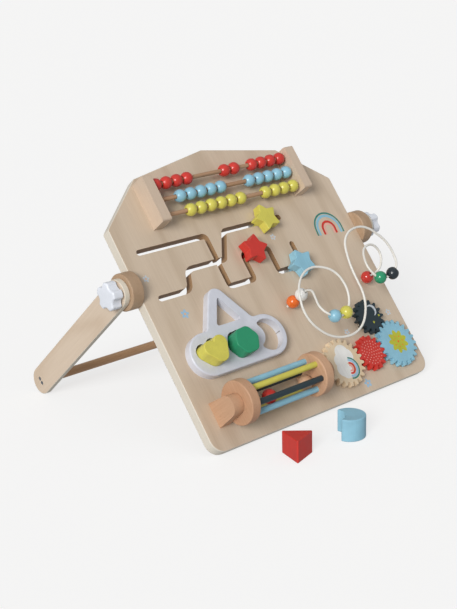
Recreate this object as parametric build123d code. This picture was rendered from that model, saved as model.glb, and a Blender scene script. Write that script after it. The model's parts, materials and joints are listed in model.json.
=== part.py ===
from build123d import *
import os
from math import acos, asin, atan2, ceil, cos, degrees, pi, radians, sin, sqrt, tan

# Wooden busy board: a leaning play panel on a folding leg frame. All sizes are millimetres.
# World frame: X to the right, Y to the back, Z up, origin in the middle of the flat on which
# the panel's lower edge stands. Pieces on the panel are drawn in the panel's own frame
# (x to the right from the middle, y up the panel, z out of its front face) and then tilted.

# ---- clearances -------------------------------------------------------------------------
glue_gap = 0.05          # around glued dowels, rods and screws
running_gap = 0.08       # radial, between an axle and the bore that it turns in
slide_gap = 0.35         # between sliding faces
face_gap = 0.5           # between parts that turn past one another
window_gap = 1.4         # all round a shape block in the middle of its window

# ---- panel ------------------------------------------------------------------------------
lean_angle = 38.3        # from upright
panel_width = 400.0
panel_thickness = 15.0
side_height = 310.0
shoulder_inset = 72.0
shoulder_rise = 60.0
peak_rise = 22.0
foot_corner_radius = 18.0
upper_corner_radius = 5.0
panel_edge_round = 1.2
stand_flat_width = 4.0   # narrow flat sanded on the lower back edge

# ---- maze slots -------------------------------------------------------------------------
slot_width = 8.0
slot_bend_radius = 5.0
slot_curve_radius = 12.0
slot_left_x = -172.0
slot_drop_x = -62.0
slot_island_left_x = -18.0
slot_island_right_x = 28.0
slot_right_x = 72.0
slot_top_y = side_height - 39.0
slot_middle_y = slot_top_y - 38.0
slot_low_y = slot_middle_y - 37.0
slot_exit_y = slot_low_y + 10.0
slot_end_y = slot_low_y + 33.0
slot_lane_x = -29.0
slot_lane_foot_x = -50.0
slot_curve_x = -114.0
slot_curve_foot_x = -124.0

# ---- star sliders -----------------------------------------------------------------------
star_radius = 21.0
star_waist = 12.3
star_thickness = 14.0
star_tip_round = 1.6
star_lift = 2.0
shank_radius = slot_width / 2 - slide_gap
glide_radius = 9.0
glide_thickness = 4.0
star_screw_radius = 1.75
star_screw_depth = 8.0
# name: position along its slot, slot row, turn of one tip in degrees
stars = {
    "yellow": (40.0, slot_top_y, 32.0),
    "red": (-4.0, slot_middle_y, 0.0),
    "blue": (62.0, slot_low_y, 35.0),
}

# ---- counting frame ---------------------------------------------------------------------
abacus_half_span = 120.0
abacus_block_width = 15.0
abacus_block_height = 26.0
abacus_block_length = 66.0
abacus_block_round = 3.0
abacus_middle_y = side_height + 18.0
rod_pitch = 22.0
rod_lift = 14.0
rod_radius = 2.9
rod_socket = 9.0
bead_radius = 8.6
bead_bore_radius = 3.3
bead_mouth = 0.8
bead_hang = 0.1          # a threaded bead's bore drops a little below its rod's axis
bead_pitch = 2 * bead_radius + slide_gap
# rod row counted from the lowest, centre of each bead cluster's first bead, number of beads
bead_clusters = {
    "red_left": (2, -111.0, 4),
    "red_middle": (2, 8.0, 2),
    "red_right": (2, 58.4, 4),
    "blue_left": (1, -82.0, 5),
    "blue_right": (1, 40.8, 5),
    "yellow_left": (0, -76.0, 6),
    "yellow_right": (0, 58.3, 4),
}

# ---- shape sorter -----------------------------------------------------------------------
sorter_middle_x = -100.0
sorter_axle_y = 117.0
sorter_wheelbase = 100.0
sorter_lobe_radius = 29.0
sorter_peak_y = 183.0
sorter_peak_radius = 13.5
sorter_tower_foot = 111.0      # width of the tower where it meets the lobes' middle line
sorter_thickness = 12.0
sorter_round = 2.0
sorter_waist_radius = 8.0
block_thickness = 29.0
block_round = 1.2
triangle_side = 38.5
triangle_corner = 1.5
triangle_middle_y = 160.0
hexagon_across_flats = 34.0
hexagon_corner = 9.0
hexagon_turn = 5.0
heart_lobe_radius = 10.0
heart_lobe_x = 9.0
heart_lobe_y = 6.0
heart_tip_radius = 11.5
heart_tip_y = -5.0
heart_turn = 12.0
heart_inset = 1.8        # window middle, from its lobe towards the plate's middle
crescent_radius = 20.5
crescent_bite_radius = 17.0
crescent_bite_distance = 22.0
crescent_bite_angle = 168.0
crescent_corner = 2.0
prism_place = (-123.0, -70.5)
prism_turn = 106.0
crescent_place = (-35.0, -74.5)
crescent_turn = 142.0

# ---- rattle drum ------------------------------------------------------------------------
drum_axis_y = 45.0
drum_axis_lift = 30.5
drum_disc_radius = 28.5
drum_disc_thickness = 14.0
drum_disc_round = 1.5
drum_left_x = -162.0
drum_length = 141.5
drum_rod_ring = 19.0
drum_rod_radius = 3.9
drum_rod_socket = 9.0
drum_first_rod_angle = 4.0
drum_bracket_thickness = 15.0
drum_bracket_foot = 33.0
drum_bracket_head_radius = 13.5
drum_pin_radius = 3.0
drum_pin_grip = 9.0
drum_ball_radius = 9.6
drum_ball_x = {"red": -108.0, "natural": -45.0}

# ---- meshing gears ----------------------------------------------------------------------
gear_module = 3.0
large_teeth = 21
small_teeth = 15
tooth_height_ratio = 0.8
tooth_root_ratio = 1.08
pressure_angle = 24.0
gear_backlash = 0.8
gear_thickness = 8.0
gear_lift = 0.8
gear_axle_radius = 4.0
gear_axle_socket = 5.5
gear_flange_radius = 9.0
gear_flange_thickness = 3.0
blue_gear_place = (158.0, 48.5)
navy_gear_angle = 117.3
first_tooth_angle = 3.0

# ---- bead maze --------------------------------------------------------------------------
wire_radius = 1.6
wire_socket = 10.0
maze_bead_radius = 8.75
maze_bore_radius = 3.4
maze_bore_mouth = 1.2
# Corners of the steel wire's route, panel frame, from the left foot to the right foot: x, y, z
# and the radius that the corner is bent to. The two feet have no bend.
wire_route = [
    (12.0, 147.0, 0.0, 0.0),
    (29.5, 153.5, 38.0, 9.5),
    (17.5, 114.0, 46.5, 23.5),
    (46.0, 94.5, 53.5, 18.0),
    (66.5, 122.0, 60.5, 38.5),
    (59.5, 159.0, 64.5, 35.0),
    (23.5, 177.0, 59.0, 34.0),
    (-10.0, 157.0, 58.0, 38.0),
    (-16.0, 112.5, 49.0, 49.5),
    (15.0, 75.5, 45.5, 54.0),
    (62.5, 71.0, 51.5, 41.5),
    (91.0, 107.0, 58.5, 57.5),
    (87.0, 163.0, 64.0, 125.5),
    (96.0, 201.5, 70.0, 28.0),
    (135.5, 207.0, 74.5, 36.5),
    (169.0, 172.0, 70.5, 59.5),
    (176.0, 132.6, 58.2, 18.5),
    (150.5, 132.5, 41.5, 17.5),
    (139.0, 155.0, 40.5, 30.5),
    (147.0, 183.0, 41.0, 18.5),
    (171.5, 187.0, 40.5, 19.0),
    (186.0, 169.5, 34.0, 14.5),
    (170.5, 148.0, 31.0, 15.5),
    (161.0, 150.5, 0.0, 0.0),
]
# The beads rest at the wire's feet and in pairs in its two low bends, whose places are given as
# distances along the wire from its left foot.
maze_bead_length = 2 * sqrt(maze_bead_radius**2 - (maze_bore_radius + maze_bore_mouth) ** 2)
maze_bend_pitch = 2 * maze_bead_radius + 1.1
maze_left_low = 103.2
maze_right_low = 655.0

# ---- leg frame --------------------------------------------------------------------------
hub_radius = 24.0
hub_thickness = 18.0
hub_round = 1.5
hub_y = side_height - 81.0
hub_dowel_radius = 3.0
hub_dowel_length = 30.0
hub_dowel_spread = 30.0
insert_radius = 4.5
insert_length = 14.0
leg_length = 245.5
leg_half_width = 18.5
leg_thickness = 8.0
leg_round = 1.0
stud_radius = 3.0
stud_hole_radius = 3.3
washer_radius = 11.0
washer_thickness = 1.6
knob_radius = 18.0
knob_lobes = 5
knob_scallop_radius = 8.0
knob_scallop_depth = 4.0
knob_lobe_round = 3.0
knob_thickness = 14.0
knob_round = 2.5
crossbar_radius = 6.0
leg_screw_radius = 1.6
leg_screw_head_radius = 2.8
leg_screw_length = 24.0
leg_screw_spread = 6.5

# ---- screws from the back of the panel --------------------------------------------------
rear_screw_radius = 1.9
rear_screw_head_radius = 3.8
rear_screw_grip = 9.0

# ---- derived places ---------------------------------------------------------------------
half_width = panel_width / 2
lean_sin = sin(radians(lean_angle))
lean_cos = cos(radians(lean_angle))
standing_depth = panel_thickness - stand_flat_width * lean_cos
panel_frame = Plane(
    origin=(0, -stand_flat_width / 2 - standing_depth * lean_cos, standing_depth * lean_sin),
    x_dir=(1, 0, 0),
    z_dir=(0, -lean_cos, lean_sin),
)
rod_rows = [abacus_middle_y + rod_pitch * row for row in (-1, 0, 1)]
sorter_centres = [sorter_middle_x + sorter_wheelbase * side / 2 for side in (-1, 0, 1)]
link_length = gear_module * (large_teeth + small_teeth) / 2
hub_axis = panel_frame.from_local_coords(Vector(0, hub_y, -panel_thickness / 2))
leg_drop_angle = degrees(asin((hub_axis.Z - leg_half_width) / leg_length))
foot_axis = Vector(
    0,
    hub_axis.Y + leg_length * cos(radians(leg_drop_angle)),
    hub_axis.Z - leg_length * sin(radians(leg_drop_angle)),
)
leg_inner_x = half_width + hub_thickness + slide_gap
leg_outer_x = leg_inner_x + leg_thickness
knob_inner_x = leg_outer_x + slide_gap + washer_thickness + slide_gap
shank_back = -panel_thickness - slide_gap


def on_panel(shape):
    """Tilt a shape drawn in the panel's frame into its place."""
    return panel_frame.location * shape


def cylinder_x(radius, start, end, y=0.0, z=0.0):
    """Round bar along X from start to end."""
    return Pos(start, y, z) * Rot(0, 90, 0) * extrude(Circle(radius), end - start)


def cylinder_z(radius, start, end, x=0.0, y=0.0):
    """Round bar along Z from start to end."""
    return Pos(x, y, start) * extrude(Circle(radius), end - start)


def plate(face, start, thickness):
    """Flat piece: a face drawn in XY, thickened upwards from a height."""
    return Pos(0, 0, start) * extrude(face, thickness)


def rims(solid, height):
    """Edges that lie wholly at one height."""
    return solid.edges().filter_by(
        lambda edge: abs(edge.bounding_box().min.Z - height) < 1e-4
        and abs(edge.bounding_box().max.Z - height) < 1e-4
    )


# ---- panel ------------------------------------------------------------------------------
def panel_outline():
    shoulder_x = half_width - shoulder_inset
    shoulder_y = side_height + shoulder_rise
    face = make_face(
        Polyline(
            (-half_width, 0),
            (half_width, 0),
            (half_width, side_height),
            (shoulder_x, shoulder_y),
            (0, shoulder_y + peak_rise),
            (-shoulder_x, shoulder_y),
            (-half_width, side_height),
            close=True,
        )
    )
    lower = face.vertices().filter_by(lambda vertex: vertex.Y < 1e-6)
    face = fillet(lower, foot_corner_radius)
    upper = face.vertices().filter_by(lambda vertex: vertex.Y > side_height - 1e-6)
    return fillet(upper, upper_corner_radius)


def slot_routes():
    """Centre lines of the two maze slots and the bend radius at each of their corners."""
    square = [slot_bend_radius]
    stepped = [
        (slot_left_x, slot_top_y),
        (slot_drop_x, slot_top_y),
        (slot_drop_x, slot_low_y),
        (slot_island_left_x, slot_low_y),
        (slot_island_left_x, slot_middle_y),
        (slot_island_right_x, slot_middle_y),
        (slot_island_right_x, slot_low_y),
        (slot_right_x, slot_low_y),
        (slot_right_x, slot_end_y),
    ]
    curved = [
        (slot_right_x, slot_top_y),
        (slot_lane_x, slot_top_y),
        (slot_lane_foot_x, slot_middle_y),
        (slot_curve_x, slot_middle_y),
        (slot_curve_foot_x, slot_exit_y),
        (slot_left_x, slot_exit_y),
    ]
    return (stepped, square * 7), (curved, square * 2 + [slot_curve_radius] * 2)


def slot_cutter(corners, radii):
    """Stroke of the slot's width along its centre line, with round ends."""
    centre_line = FilletPolyline(*corners, radius=radii)
    stroke = offset(centre_line, slot_width / 2, side=Side.BOTH)
    return plate(make_face(stroke), -panel_thickness - 1, panel_thickness + 2)


def make_panel(holes):
    body = plate(panel_outline(), -panel_thickness, panel_thickness)
    body = fillet(rims(body, 0) + rims(body, -panel_thickness), panel_edge_round)
    for corners, radii in slot_routes():
        body -= slot_cutter(corners, radii)
    body -= holes
    floor_side = Box(2 * panel_width, panel_width, panel_width, align=(Align.CENTER, Align.CENTER, Align.MAX))
    return on_panel(body) - floor_side


# ---- counting frame ---------------------------------------------------------------------
def make_abacus_block(side):
    profile = make_face(
        FilletPolyline(
            (-abacus_block_length / 2, 0),
            (-abacus_block_length / 2, abacus_block_height),
            (abacus_block_length / 2, abacus_block_height),
            (abacus_block_length / 2, 0),
            radius=abacus_block_round,
        )
        + Line((abacus_block_length / 2, 0), (-abacus_block_length / 2, 0))
    )
    inner_x = side * abacus_half_span
    block = Plane(origin=(inner_x, abacus_middle_y, 0), x_dir=(0, 1, 0), z_dir=(1, 0, 0)).location * (
        extrude(profile, side * abacus_block_width)
    )
    for row in rod_rows:
        block -= cylinder_x(
            rod_radius + glue_gap, inner_x - side, inner_x + side * rod_socket, row, rod_lift
        )
    return block


def make_rods():
    reach = abacus_half_span + rod_socket - slide_gap
    return [cylinder_x(rod_radius, -reach, reach, row, rod_lift) for row in rod_rows]


def bored_bead(radius, bore_radius, mouth):
    """Round bead bored along Z, with chamfered mouths."""
    body = Sphere(radius) - cylinder_z(bore_radius, -radius - 1, radius + 1)
    rims_of_bore = body.edges().filter_by(GeomType.CIRCLE)
    return chamfer(rims_of_bore.filter_by(lambda edge: edge.radius < bore_radius + 0.1), mouth)


def make_bead_cluster(row, first_x, count):
    bead = Rot(0, 90, 0) * bored_bead(bead_radius, bead_bore_radius, bead_mouth)
    height = rod_lift - bead_hang
    return [Pos(first_x + bead_pitch * turn, rod_rows[row], height) * bead for turn in range(count)]


# ---- shape sorter -----------------------------------------------------------------------
def triangle_face(side):
    face = RegularPolygon(side / sqrt(3), 3, rotation=90)
    return fillet(face.vertices(), triangle_corner)


def hexagon_face():
    face = RegularPolygon(hexagon_across_flats / 2, 6, major_radius=False, rotation=hexagon_turn)
    return fillet(face.vertices(), hexagon_corner)


def heart_face():
    tip = Pos(0, heart_tip_y) * Circle(heart_tip_radius)
    halves = [
        make_hull((tip + Pos(side * heart_lobe_x, heart_lobe_y) * Circle(heart_lobe_radius)).edges())
        for side in (-1, 1)
    ]
    return Rot(0, 0, heart_turn) * (halves[0] + halves[1])


def crescent_face():
    bite = Pos(crescent_bite_distance, 0) * Circle(crescent_bite_radius)
    face = Circle(crescent_radius) - bite
    return fillet(face.vertices(), crescent_corner)


def block_faces():
    """Outline of each shape block about its own middle."""
    return {
        "triangle": triangle_face(triangle_side),
        "heart": heart_face(),
        "hexagon": hexagon_face(),
        "crescent": Rot(0, 0, crescent_bite_angle) * crescent_face(),
    }


def sorter_windows():
    """Where each shape's window stands on the panel."""
    return {
        "triangle": (sorter_middle_x, triangle_middle_y),
        "heart": (sorter_centres[0] + heart_inset, sorter_axle_y),
        "hexagon": (sorter_centres[1], sorter_axle_y),
        "crescent": (sorter_centres[2], sorter_axle_y),
    }


def make_sorter_plate():
    lobes = [Pos(sorter_centres[end], sorter_axle_y) * Circle(sorter_lobe_radius) for end in (0, 2)]
    base = make_hull((lobes[0] + lobes[1]).edges())
    peak = Pos(sorter_middle_x, sorter_peak_y) * Circle(sorter_peak_radius)
    foot = Pos(sorter_middle_x, sorter_axle_y) * Rectangle(sorter_tower_foot, sorter_round)
    tower = make_hull((peak + foot).edges())
    outline = base + tower
    waists = outline.vertices().filter_by(
        lambda vertex: abs(vertex.Y - sorter_axle_y - sorter_lobe_radius) < 0.5
        and abs(abs(vertex.X - sorter_middle_x) - sorter_wheelbase / 2) > 2
    )
    outline = fillet(waists, sorter_waist_radius)
    body = plate(outline, 0, sorter_thickness)
    body = fillet(rims(body, sorter_thickness), sorter_round)
    faces = block_faces()
    for shape, place in sorter_windows().items():
        window = offset(faces[shape], window_gap)
        body -= Pos(place[0], place[1]) * plate(window, -1, sorter_thickness + 2)
    return body


def make_block(shape):
    """Shape block standing on its own face, rounded at both ends."""
    body = plate(block_faces()[shape], 0, block_thickness)
    return fillet(rims(body, 0) + rims(body, block_thickness), block_round)


# ---- rattle drum ------------------------------------------------------------------------
def drum_disc_span(end):
    """Inner and outer x of a drum disc, end 0 at the left and 1 at the right."""
    right_x = drum_left_x + drum_length
    if end == 0:
        return drum_left_x + drum_disc_thickness, drum_left_x
    return right_x - drum_disc_thickness, right_x


def make_drum_disc(end):
    inner_x, outer_x = drum_disc_span(end)
    side = 1 if outer_x > inner_x else -1
    body = cylinder_x(drum_disc_radius, inner_x, outer_x)
    body = fillet(body.edges().filter_by(GeomType.CIRCLE), drum_disc_round)
    body -= cylinder_x(drum_pin_radius + running_gap, outer_x + side, outer_x - side * drum_pin_grip)
    for rod in range(6):
        angle = radians(drum_first_rod_angle + 60 * rod)
        body -= cylinder_x(
            drum_rod_radius + glue_gap,
            inner_x - side,
            inner_x + side * drum_rod_socket,
            drum_rod_ring * cos(angle),
            drum_rod_ring * sin(angle),
        )
    return Pos(0, drum_axis_y, drum_axis_lift) * body


def make_drum_rods(first):
    """The pair of opposite cage rods that share a colour."""
    start = drum_disc_span(0)[0] - drum_rod_socket + slide_gap
    end = drum_disc_span(1)[0] + drum_rod_socket - slide_gap
    rods = []
    for rod in (first, first + 3):
        angle = radians(drum_first_rod_angle + 60 * rod)
        y = drum_axis_y + drum_rod_ring * cos(angle)
        z = drum_axis_lift + drum_rod_ring * sin(angle)
        rods.append(cylinder_x(drum_rod_radius, start, end, y, z))
    return rods


def bracket_span(end):
    """Inner and outer x of a drum bracket."""
    outer_disc_x = drum_disc_span(end)[1]
    side = -1 if end == 0 else 1
    return outer_disc_x + side * face_gap, outer_disc_x + side * (face_gap + drum_bracket_thickness)


def make_drum_bracket(end):
    inner_x, outer_x = bracket_span(end)
    foot = Pos(0, 0.5) * Rectangle(drum_bracket_foot, 1)
    head = Pos(0, drum_axis_lift) * Circle(drum_bracket_head_radius)
    profile = make_hull((foot + head).edges())
    stand = Plane(origin=(inner_x, drum_axis_y, 0), x_dir=(0, 1, 0), z_dir=(1, 0, 0))
    body = stand.location * extrude(profile, outer_x - inner_x)
    side = 1 if outer_x > inner_x else -1
    socket = cylinder_x(
        drum_pin_radius + glue_gap,
        inner_x - side,
        inner_x + side * drum_pin_grip,
        drum_axis_y,
        drum_axis_lift,
    )
    return body - socket


def make_drum_pins():
    pins = []
    for end in (0, 1):
        side = -1 if end == 0 else 1
        inner_x = bracket_span(end)[0]
        outer_disc_x = drum_disc_span(end)[1]
        pins.append(
            cylinder_x(
                drum_pin_radius,
                outer_disc_x - side * (drum_pin_grip - slide_gap),
                inner_x + side * (drum_pin_grip - slide_gap),
                drum_axis_y,
                drum_axis_lift,
            )
        )
    return pins


def drum_ball_seat():
    """Where a ball rests against the two lowest rods, seen along the cage."""
    half_pitch = 30
    downward = 180 + lean_angle
    turns = round((downward - half_pitch - drum_first_rod_angle) / 60)
    angle = radians(drum_first_rod_angle + half_pitch + 60 * turns)
    contact = drum_ball_radius + drum_rod_radius + running_gap
    beside = drum_rod_ring * sin(radians(half_pitch))
    drop = drum_rod_ring * cos(radians(half_pitch)) - sqrt(contact**2 - beside**2)
    return drum_axis_y + drop * cos(angle), drum_axis_lift + drop * sin(angle)


def make_drum_ball(x):
    y, z = drum_ball_seat()
    return Pos(x, y, z) * Sphere(drum_ball_radius)


# ---- meshing gears ----------------------------------------------------------------------
def gear_places():
    """Centre, tooth count and first tooth angle of each gear, each in mesh with its neighbour."""
    blue = Vector(*blue_gear_place)
    red = blue - Vector(link_length, 0)
    natural = red - Vector(link_length, 0)
    turn = radians(navy_gear_angle)
    navy = blue + Vector(link_length * cos(turn), link_length * sin(turn))
    red_phase = meshing_angle(first_tooth_angle, large_teeth, small_teeth, 180)
    return {
        "blue": (blue, large_teeth, first_tooth_angle),
        "red": (red, small_teeth, red_phase),
        "natural": (natural, large_teeth, meshing_angle(red_phase, small_teeth, large_teeth, 180)),
        "navy": (navy, small_teeth, meshing_angle(first_tooth_angle, large_teeth, small_teeth, navy_gear_angle)),
    }


def meshing_angle(driver_phase, driver_teeth, teeth, direction):
    """First tooth angle of a gear whose gap meets the driver's tooth along a direction."""
    return direction + 180 - (driver_phase - direction) * driver_teeth / teeth - 180 / teeth


def involute_angle(radius, base_radius):
    """Angle that an involute has turned through at a radius, in radians."""
    if radius <= base_radius:
        return 0.0
    roll = acos(base_radius / radius)
    return tan(roll) - roll


def gear_face(teeth):
    """Toothed outline, involute flanks drawn as arcs through three of their points."""
    pitch_radius = gear_module * teeth / 2
    base_radius = pitch_radius * cos(radians(pressure_angle))
    tip_radius = pitch_radius + tooth_height_ratio * gear_module
    root_radius = pitch_radius - tooth_root_ratio * gear_module
    half_tooth = pi / (2 * teeth) - gear_backlash / (4 * pitch_radius)
    outline = []

    def flank_angle(radius):
        return half_tooth + involute_angle(pitch_radius, base_radius) - involute_angle(radius, base_radius)

    def point(radius, angle):
        return radius * cos(angle), radius * sin(angle)

    flank_start = max(base_radius, root_radius + 0.3)
    middle = (flank_start + tip_radius) / 2
    for tooth in range(teeth):
        centre = 2 * pi * tooth / teeth
        following = centre + 2 * pi / teeth
        start_angle = flank_angle(flank_start)
        tip_angle = flank_angle(tip_radius)
        outline += [
            Line(point(root_radius, centre - start_angle), point(flank_start, centre - start_angle)),
            ThreePointArc(
                point(flank_start, centre - start_angle),
                point(middle, centre - flank_angle(middle)),
                point(tip_radius, centre - tip_angle),
            ),
            ThreePointArc(
                point(tip_radius, centre - tip_angle),
                point(tip_radius, centre),
                point(tip_radius, centre + tip_angle),
            ),
            ThreePointArc(
                point(tip_radius, centre + tip_angle),
                point(middle, centre + flank_angle(middle)),
                point(flank_start, centre + start_angle),
            ),
            Line(point(flank_start, centre + start_angle), point(root_radius, centre + start_angle)),
            ThreePointArc(
                point(root_radius, centre + start_angle),
                point(root_radius, (centre + following) / 2),
                point(root_radius, following - start_angle),
            ),
        ]
    return make_face(outline)


def make_gear(name):
    centre, teeth, phase = gear_places()[name]
    body = plate(Rot(0, 0, phase) * gear_face(teeth), gear_lift, gear_thickness)
    body -= cylinder_z(gear_axle_radius + glue_gap, gear_lift - 1, gear_lift + gear_axle_socket)
    return Pos(centre.X, centre.Y) * body


def make_gear_axle(name):
    """Turned peg glued into the gear, with a flange that turns behind the panel."""
    centre = gear_places()[name][0]
    flange_top = -panel_thickness - slide_gap
    shaft = cylinder_z(gear_axle_radius, flange_top, gear_lift + gear_axle_socket - slide_gap)
    flange = cylinder_z(gear_flange_radius, flange_top - gear_flange_thickness, flange_top)
    return Pos(centre.X, centre.Y) * (shaft + flange)


# ---- star sliders -----------------------------------------------------------------------
def star_face():
    points = []
    for tip in range(5):
        outer = radians(72 * tip)
        inner = radians(72 * tip + 36)
        points.append((star_radius * cos(outer), star_radius * sin(outer)))
        points.append((star_waist * cos(inner), star_waist * sin(inner)))
    face = make_face(Polyline(*points, close=True))
    tips = face.vertices().filter_by(lambda vertex: Vector(*vertex).length > star_radius - 0.5)
    return fillet(tips, star_tip_round)


def make_star(name):
    """Star with the stem that runs in the slot."""
    x, y, turn = stars[name]
    body = plate(Rot(0, 0, turn) * star_face(), star_lift, star_thickness)
    body = fillet(rims(body, star_lift + star_thickness), 0.8)
    stem = cylinder_z(shank_radius, shank_back, star_lift + 1)
    pilot = cylinder_z(star_screw_radius + glue_gap, shank_back - 1, shank_back + star_screw_depth)
    return Pos(x, y) * (body + stem - pilot)


def make_star_glide(name):
    """Disc that keeps a star in its slot from behind, with its screw."""
    x, y, turn = stars[name]
    top = shank_back - slide_gap
    disc = cylinder_z(glide_radius, top - glide_thickness, top)
    shank = cylinder_z(star_screw_radius - running_gap, top - 1, shank_back + star_screw_depth - slide_gap)
    return Pos(x, y) * (disc + shank)


# ---- bead maze --------------------------------------------------------------------------
def wire_points():
    return [Vector(*route[:3]) for route in wire_route]


def wire_corners():
    """Rounded corners of the wire: entry point, middle, exit point, centre and axis of each."""
    points = wire_points()
    corners = []
    for before, corner, after, route in zip(points, points[1:], points[2:], wire_route[1:]):
        incoming = (corner - before).normalized()
        outgoing = (after - corner).normalized()
        turn = radians(incoming.get_angle(outgoing))
        radius = route[3]
        reach = radius * tan(turn / 2)
        inward = (outgoing - incoming).normalized()
        centre = corner + inward * (radius / cos(turn / 2))
        corners.append(
            {
                "entry": corner - incoming * reach,
                "middle": centre - inward * radius,
                "exit": corner + outgoing * reach,
                "centre": centre,
                "axis": incoming.cross(outgoing).normalized(),
                "turn": degrees(turn),
                "radius": radius,
            }
        )
    return corners


def wire_foot_points():
    """Ends of the wire, set into the panel along its first and last runs."""
    points = wire_points()
    ends = []
    for foot, neighbour in ((points[0], points[1]), (points[-1], points[-2])):
        ends.append(foot - (neighbour - foot).normalized() * wire_socket)
    return ends


def wire_path():
    corners = wire_corners()
    start, end = wire_foot_points()
    edges = []
    here = start
    for corner in corners:
        edges.append(Line(here, corner["entry"]))
        edges.append(ThreePointArc(corner["entry"], corner["middle"], corner["exit"]))
        here = corner["exit"]
    edges.append(Line(here, end))
    return Wire(edges)


def make_maze_wire():
    path = wire_path()
    start = Plane(origin=path @ 0, z_dir=path % 0)
    return sweep(start * Circle(wire_radius), path=path, transition=Transition.ROUND)


def wire_socket_cutters():
    cutters = []
    points = wire_points()
    for foot, end in zip((points[0], points[-1]), wire_foot_points()):
        along = (foot - end).normalized()
        hole = Plane(origin=end, z_dir=along)
        cutters.append(hole.location * extrude(Circle(wire_radius + glue_gap), wire_socket * 2))
    return cutters


def wire_stretches():
    """Runs and bends of the wire above the panel, in order, each with its length."""
    here, last = wire_points()[0], wire_points()[-1]
    stretches = []
    for corner in wire_corners():
        stretches.append({"from": here, "to": corner["entry"], "length": (corner["entry"] - here).length})
        stretches.append({**corner, "length": radians(corner["turn"]) * corner["radius"]})
        here = corner["exit"]
    stretches.append({"from": here, "to": last, "length": (last - here).length})
    return stretches


def foot_seat(run):
    """Distance along a run from the wire's foot at which a bead just clears the panel."""
    along = (run["to"] - run["from"]).normalized()
    return (maze_bead_radius + slide_gap) / abs(along.Z)


def maze_bead_ways():
    """Distance of each maze bead along the wire from its left foot."""
    stretches = wire_stretches()
    wire_length = sum(stretch["length"] for stretch in stretches)
    lowest = foot_seat(stretches[0])
    return {
        "orange": lowest,
        "white": lowest + maze_bead_length + slide_gap,
        "blue": maze_left_low - maze_bend_pitch / 2,
        "yellow": maze_left_low + maze_bend_pitch / 2,
        "black": maze_right_low - maze_bend_pitch / 2,
        "green": maze_right_low + maze_bend_pitch / 2,
        "red": wire_length - foot_seat(stretches[-1]),
    }


def bead_seat(name):
    """The stretch of wire that a maze bead sits on, and how far along that it is."""
    way = maze_bead_ways()[name]
    for stretch in wire_stretches():
        if way <= stretch["length"]:
            break
        way -= stretch["length"]
    return stretch, way


def bead_plane(name):
    """Plane across the wire at a maze bead."""
    stretch, way = bead_seat(name)
    if "centre" not in stretch:
        along = (stretch["to"] - stretch["from"]).normalized()
        return Plane(origin=stretch["from"] + along * way, z_dir=along)
    arm = stretch["entry"] - stretch["centre"]
    arm = arm.rotate(Axis((0, 0, 0), stretch["axis"]), degrees(way / stretch["radius"]))
    return Plane(origin=stretch["centre"] + arm, z_dir=stretch["axis"].cross(arm))


def make_maze_bead(name):
    body = bored_bead(maze_bead_radius, maze_bore_radius, maze_bore_mouth)
    return bead_plane(name).location * body


# ---- leg frame --------------------------------------------------------------------------
def hub_dowel_places():
    return [(hub_y + side * hub_dowel_spread / 2, -panel_thickness / 2) for side in (-1, 1)]


def make_hub(side):
    start = side * half_width
    end = side * (half_width + hub_thickness)
    body = cylinder_x(hub_radius, start, end, hub_y, -panel_thickness / 2)
    rim = body.edges().filter_by(GeomType.CIRCLE)
    body = fillet(rim, hub_round)
    body -= cylinder_x(insert_radius + glue_gap, end - side * insert_length, end + side, hub_y, -panel_thickness / 2)
    for y, z in hub_dowel_places():
        reach = side * (half_width + hub_dowel_length / 2)
        body -= cylinder_x(hub_dowel_radius + glue_gap, start - side, reach, y, z)
    return body


def make_hub_dowels():
    reach = hub_dowel_length / 2 - slide_gap
    return [
        cylinder_x(hub_dowel_radius, side * half_width - reach, side * half_width + reach, y, z)
        for side in (-1, 1)
        for y, z in hub_dowel_places()
    ]


def make_hub_inserts():
    inserts = []
    for side in (-1, 1):
        end = side * (half_width + hub_thickness)
        start = end - side * (insert_length - slide_gap)
        sleeve = cylinder_x(insert_radius, start, end, hub_y, -panel_thickness / 2)
        sleeve -= cylinder_x(stud_radius + running_gap, start - side, end + side, hub_y, -panel_thickness / 2)
        inserts.append(sleeve)
    return inserts


def leg_plane(x, outward):
    """Plane of a leg's face: x runs down the leg from the hub's axis."""
    along = (foot_axis - hub_axis).normalized()
    return Plane(origin=(x, hub_axis.Y, hub_axis.Z), x_dir=along, z_dir=(outward, 0, 0))


def leg_screw_places():
    """Two screws side by side across the leg's foot, into the crossbar's end."""
    return [(leg_length, side * leg_screw_spread / 2) for side in (-1, 1)]


def leg_screw(margin):
    """Countersunk screw through the leg, drawn at its own axis with z outwards."""
    head_depth = leg_screw_head_radius - leg_screw_radius
    shank = extrude(Circle(leg_screw_radius + margin), -leg_screw_length)
    head = Cone(
        leg_screw_radius + margin,
        leg_screw_head_radius + margin,
        head_depth,
        align=(Align.CENTER, Align.CENTER, Align.MAX),
    )
    return shank + head


def make_leg(side):
    face = make_hull(
        (Circle(leg_half_width) + Pos(leg_length, 0) * Circle(leg_half_width)).edges()
    )
    body = extrude(face, -leg_thickness)
    body = fillet(rims(body, 0) + rims(body, -leg_thickness), leg_round)
    body -= cylinder_z(stud_hole_radius, -leg_thickness - 1, 1)
    for x, y in leg_screw_places():
        body -= Pos(x, y) * leg_screw(glue_gap)
    return leg_plane(side * leg_outer_x, side).location * body


def make_crossbar():
    body = cylinder_x(crossbar_radius, -leg_inner_x, leg_inner_x, foot_axis.Y, foot_axis.Z)
    for side in (-1, 1):
        plane = leg_plane(side * leg_outer_x, side)
        for x, y in leg_screw_places():
            body -= plane.location * (Pos(x, y) * leg_screw(glue_gap))
    return body


def make_leg_screws():
    screws = []
    for side in (-1, 1):
        plane = leg_plane(side * leg_outer_x, side)
        screws += [plane.location * (Pos(x, y) * leg_screw(0)) for x, y in leg_screw_places()]
    return screws


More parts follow.
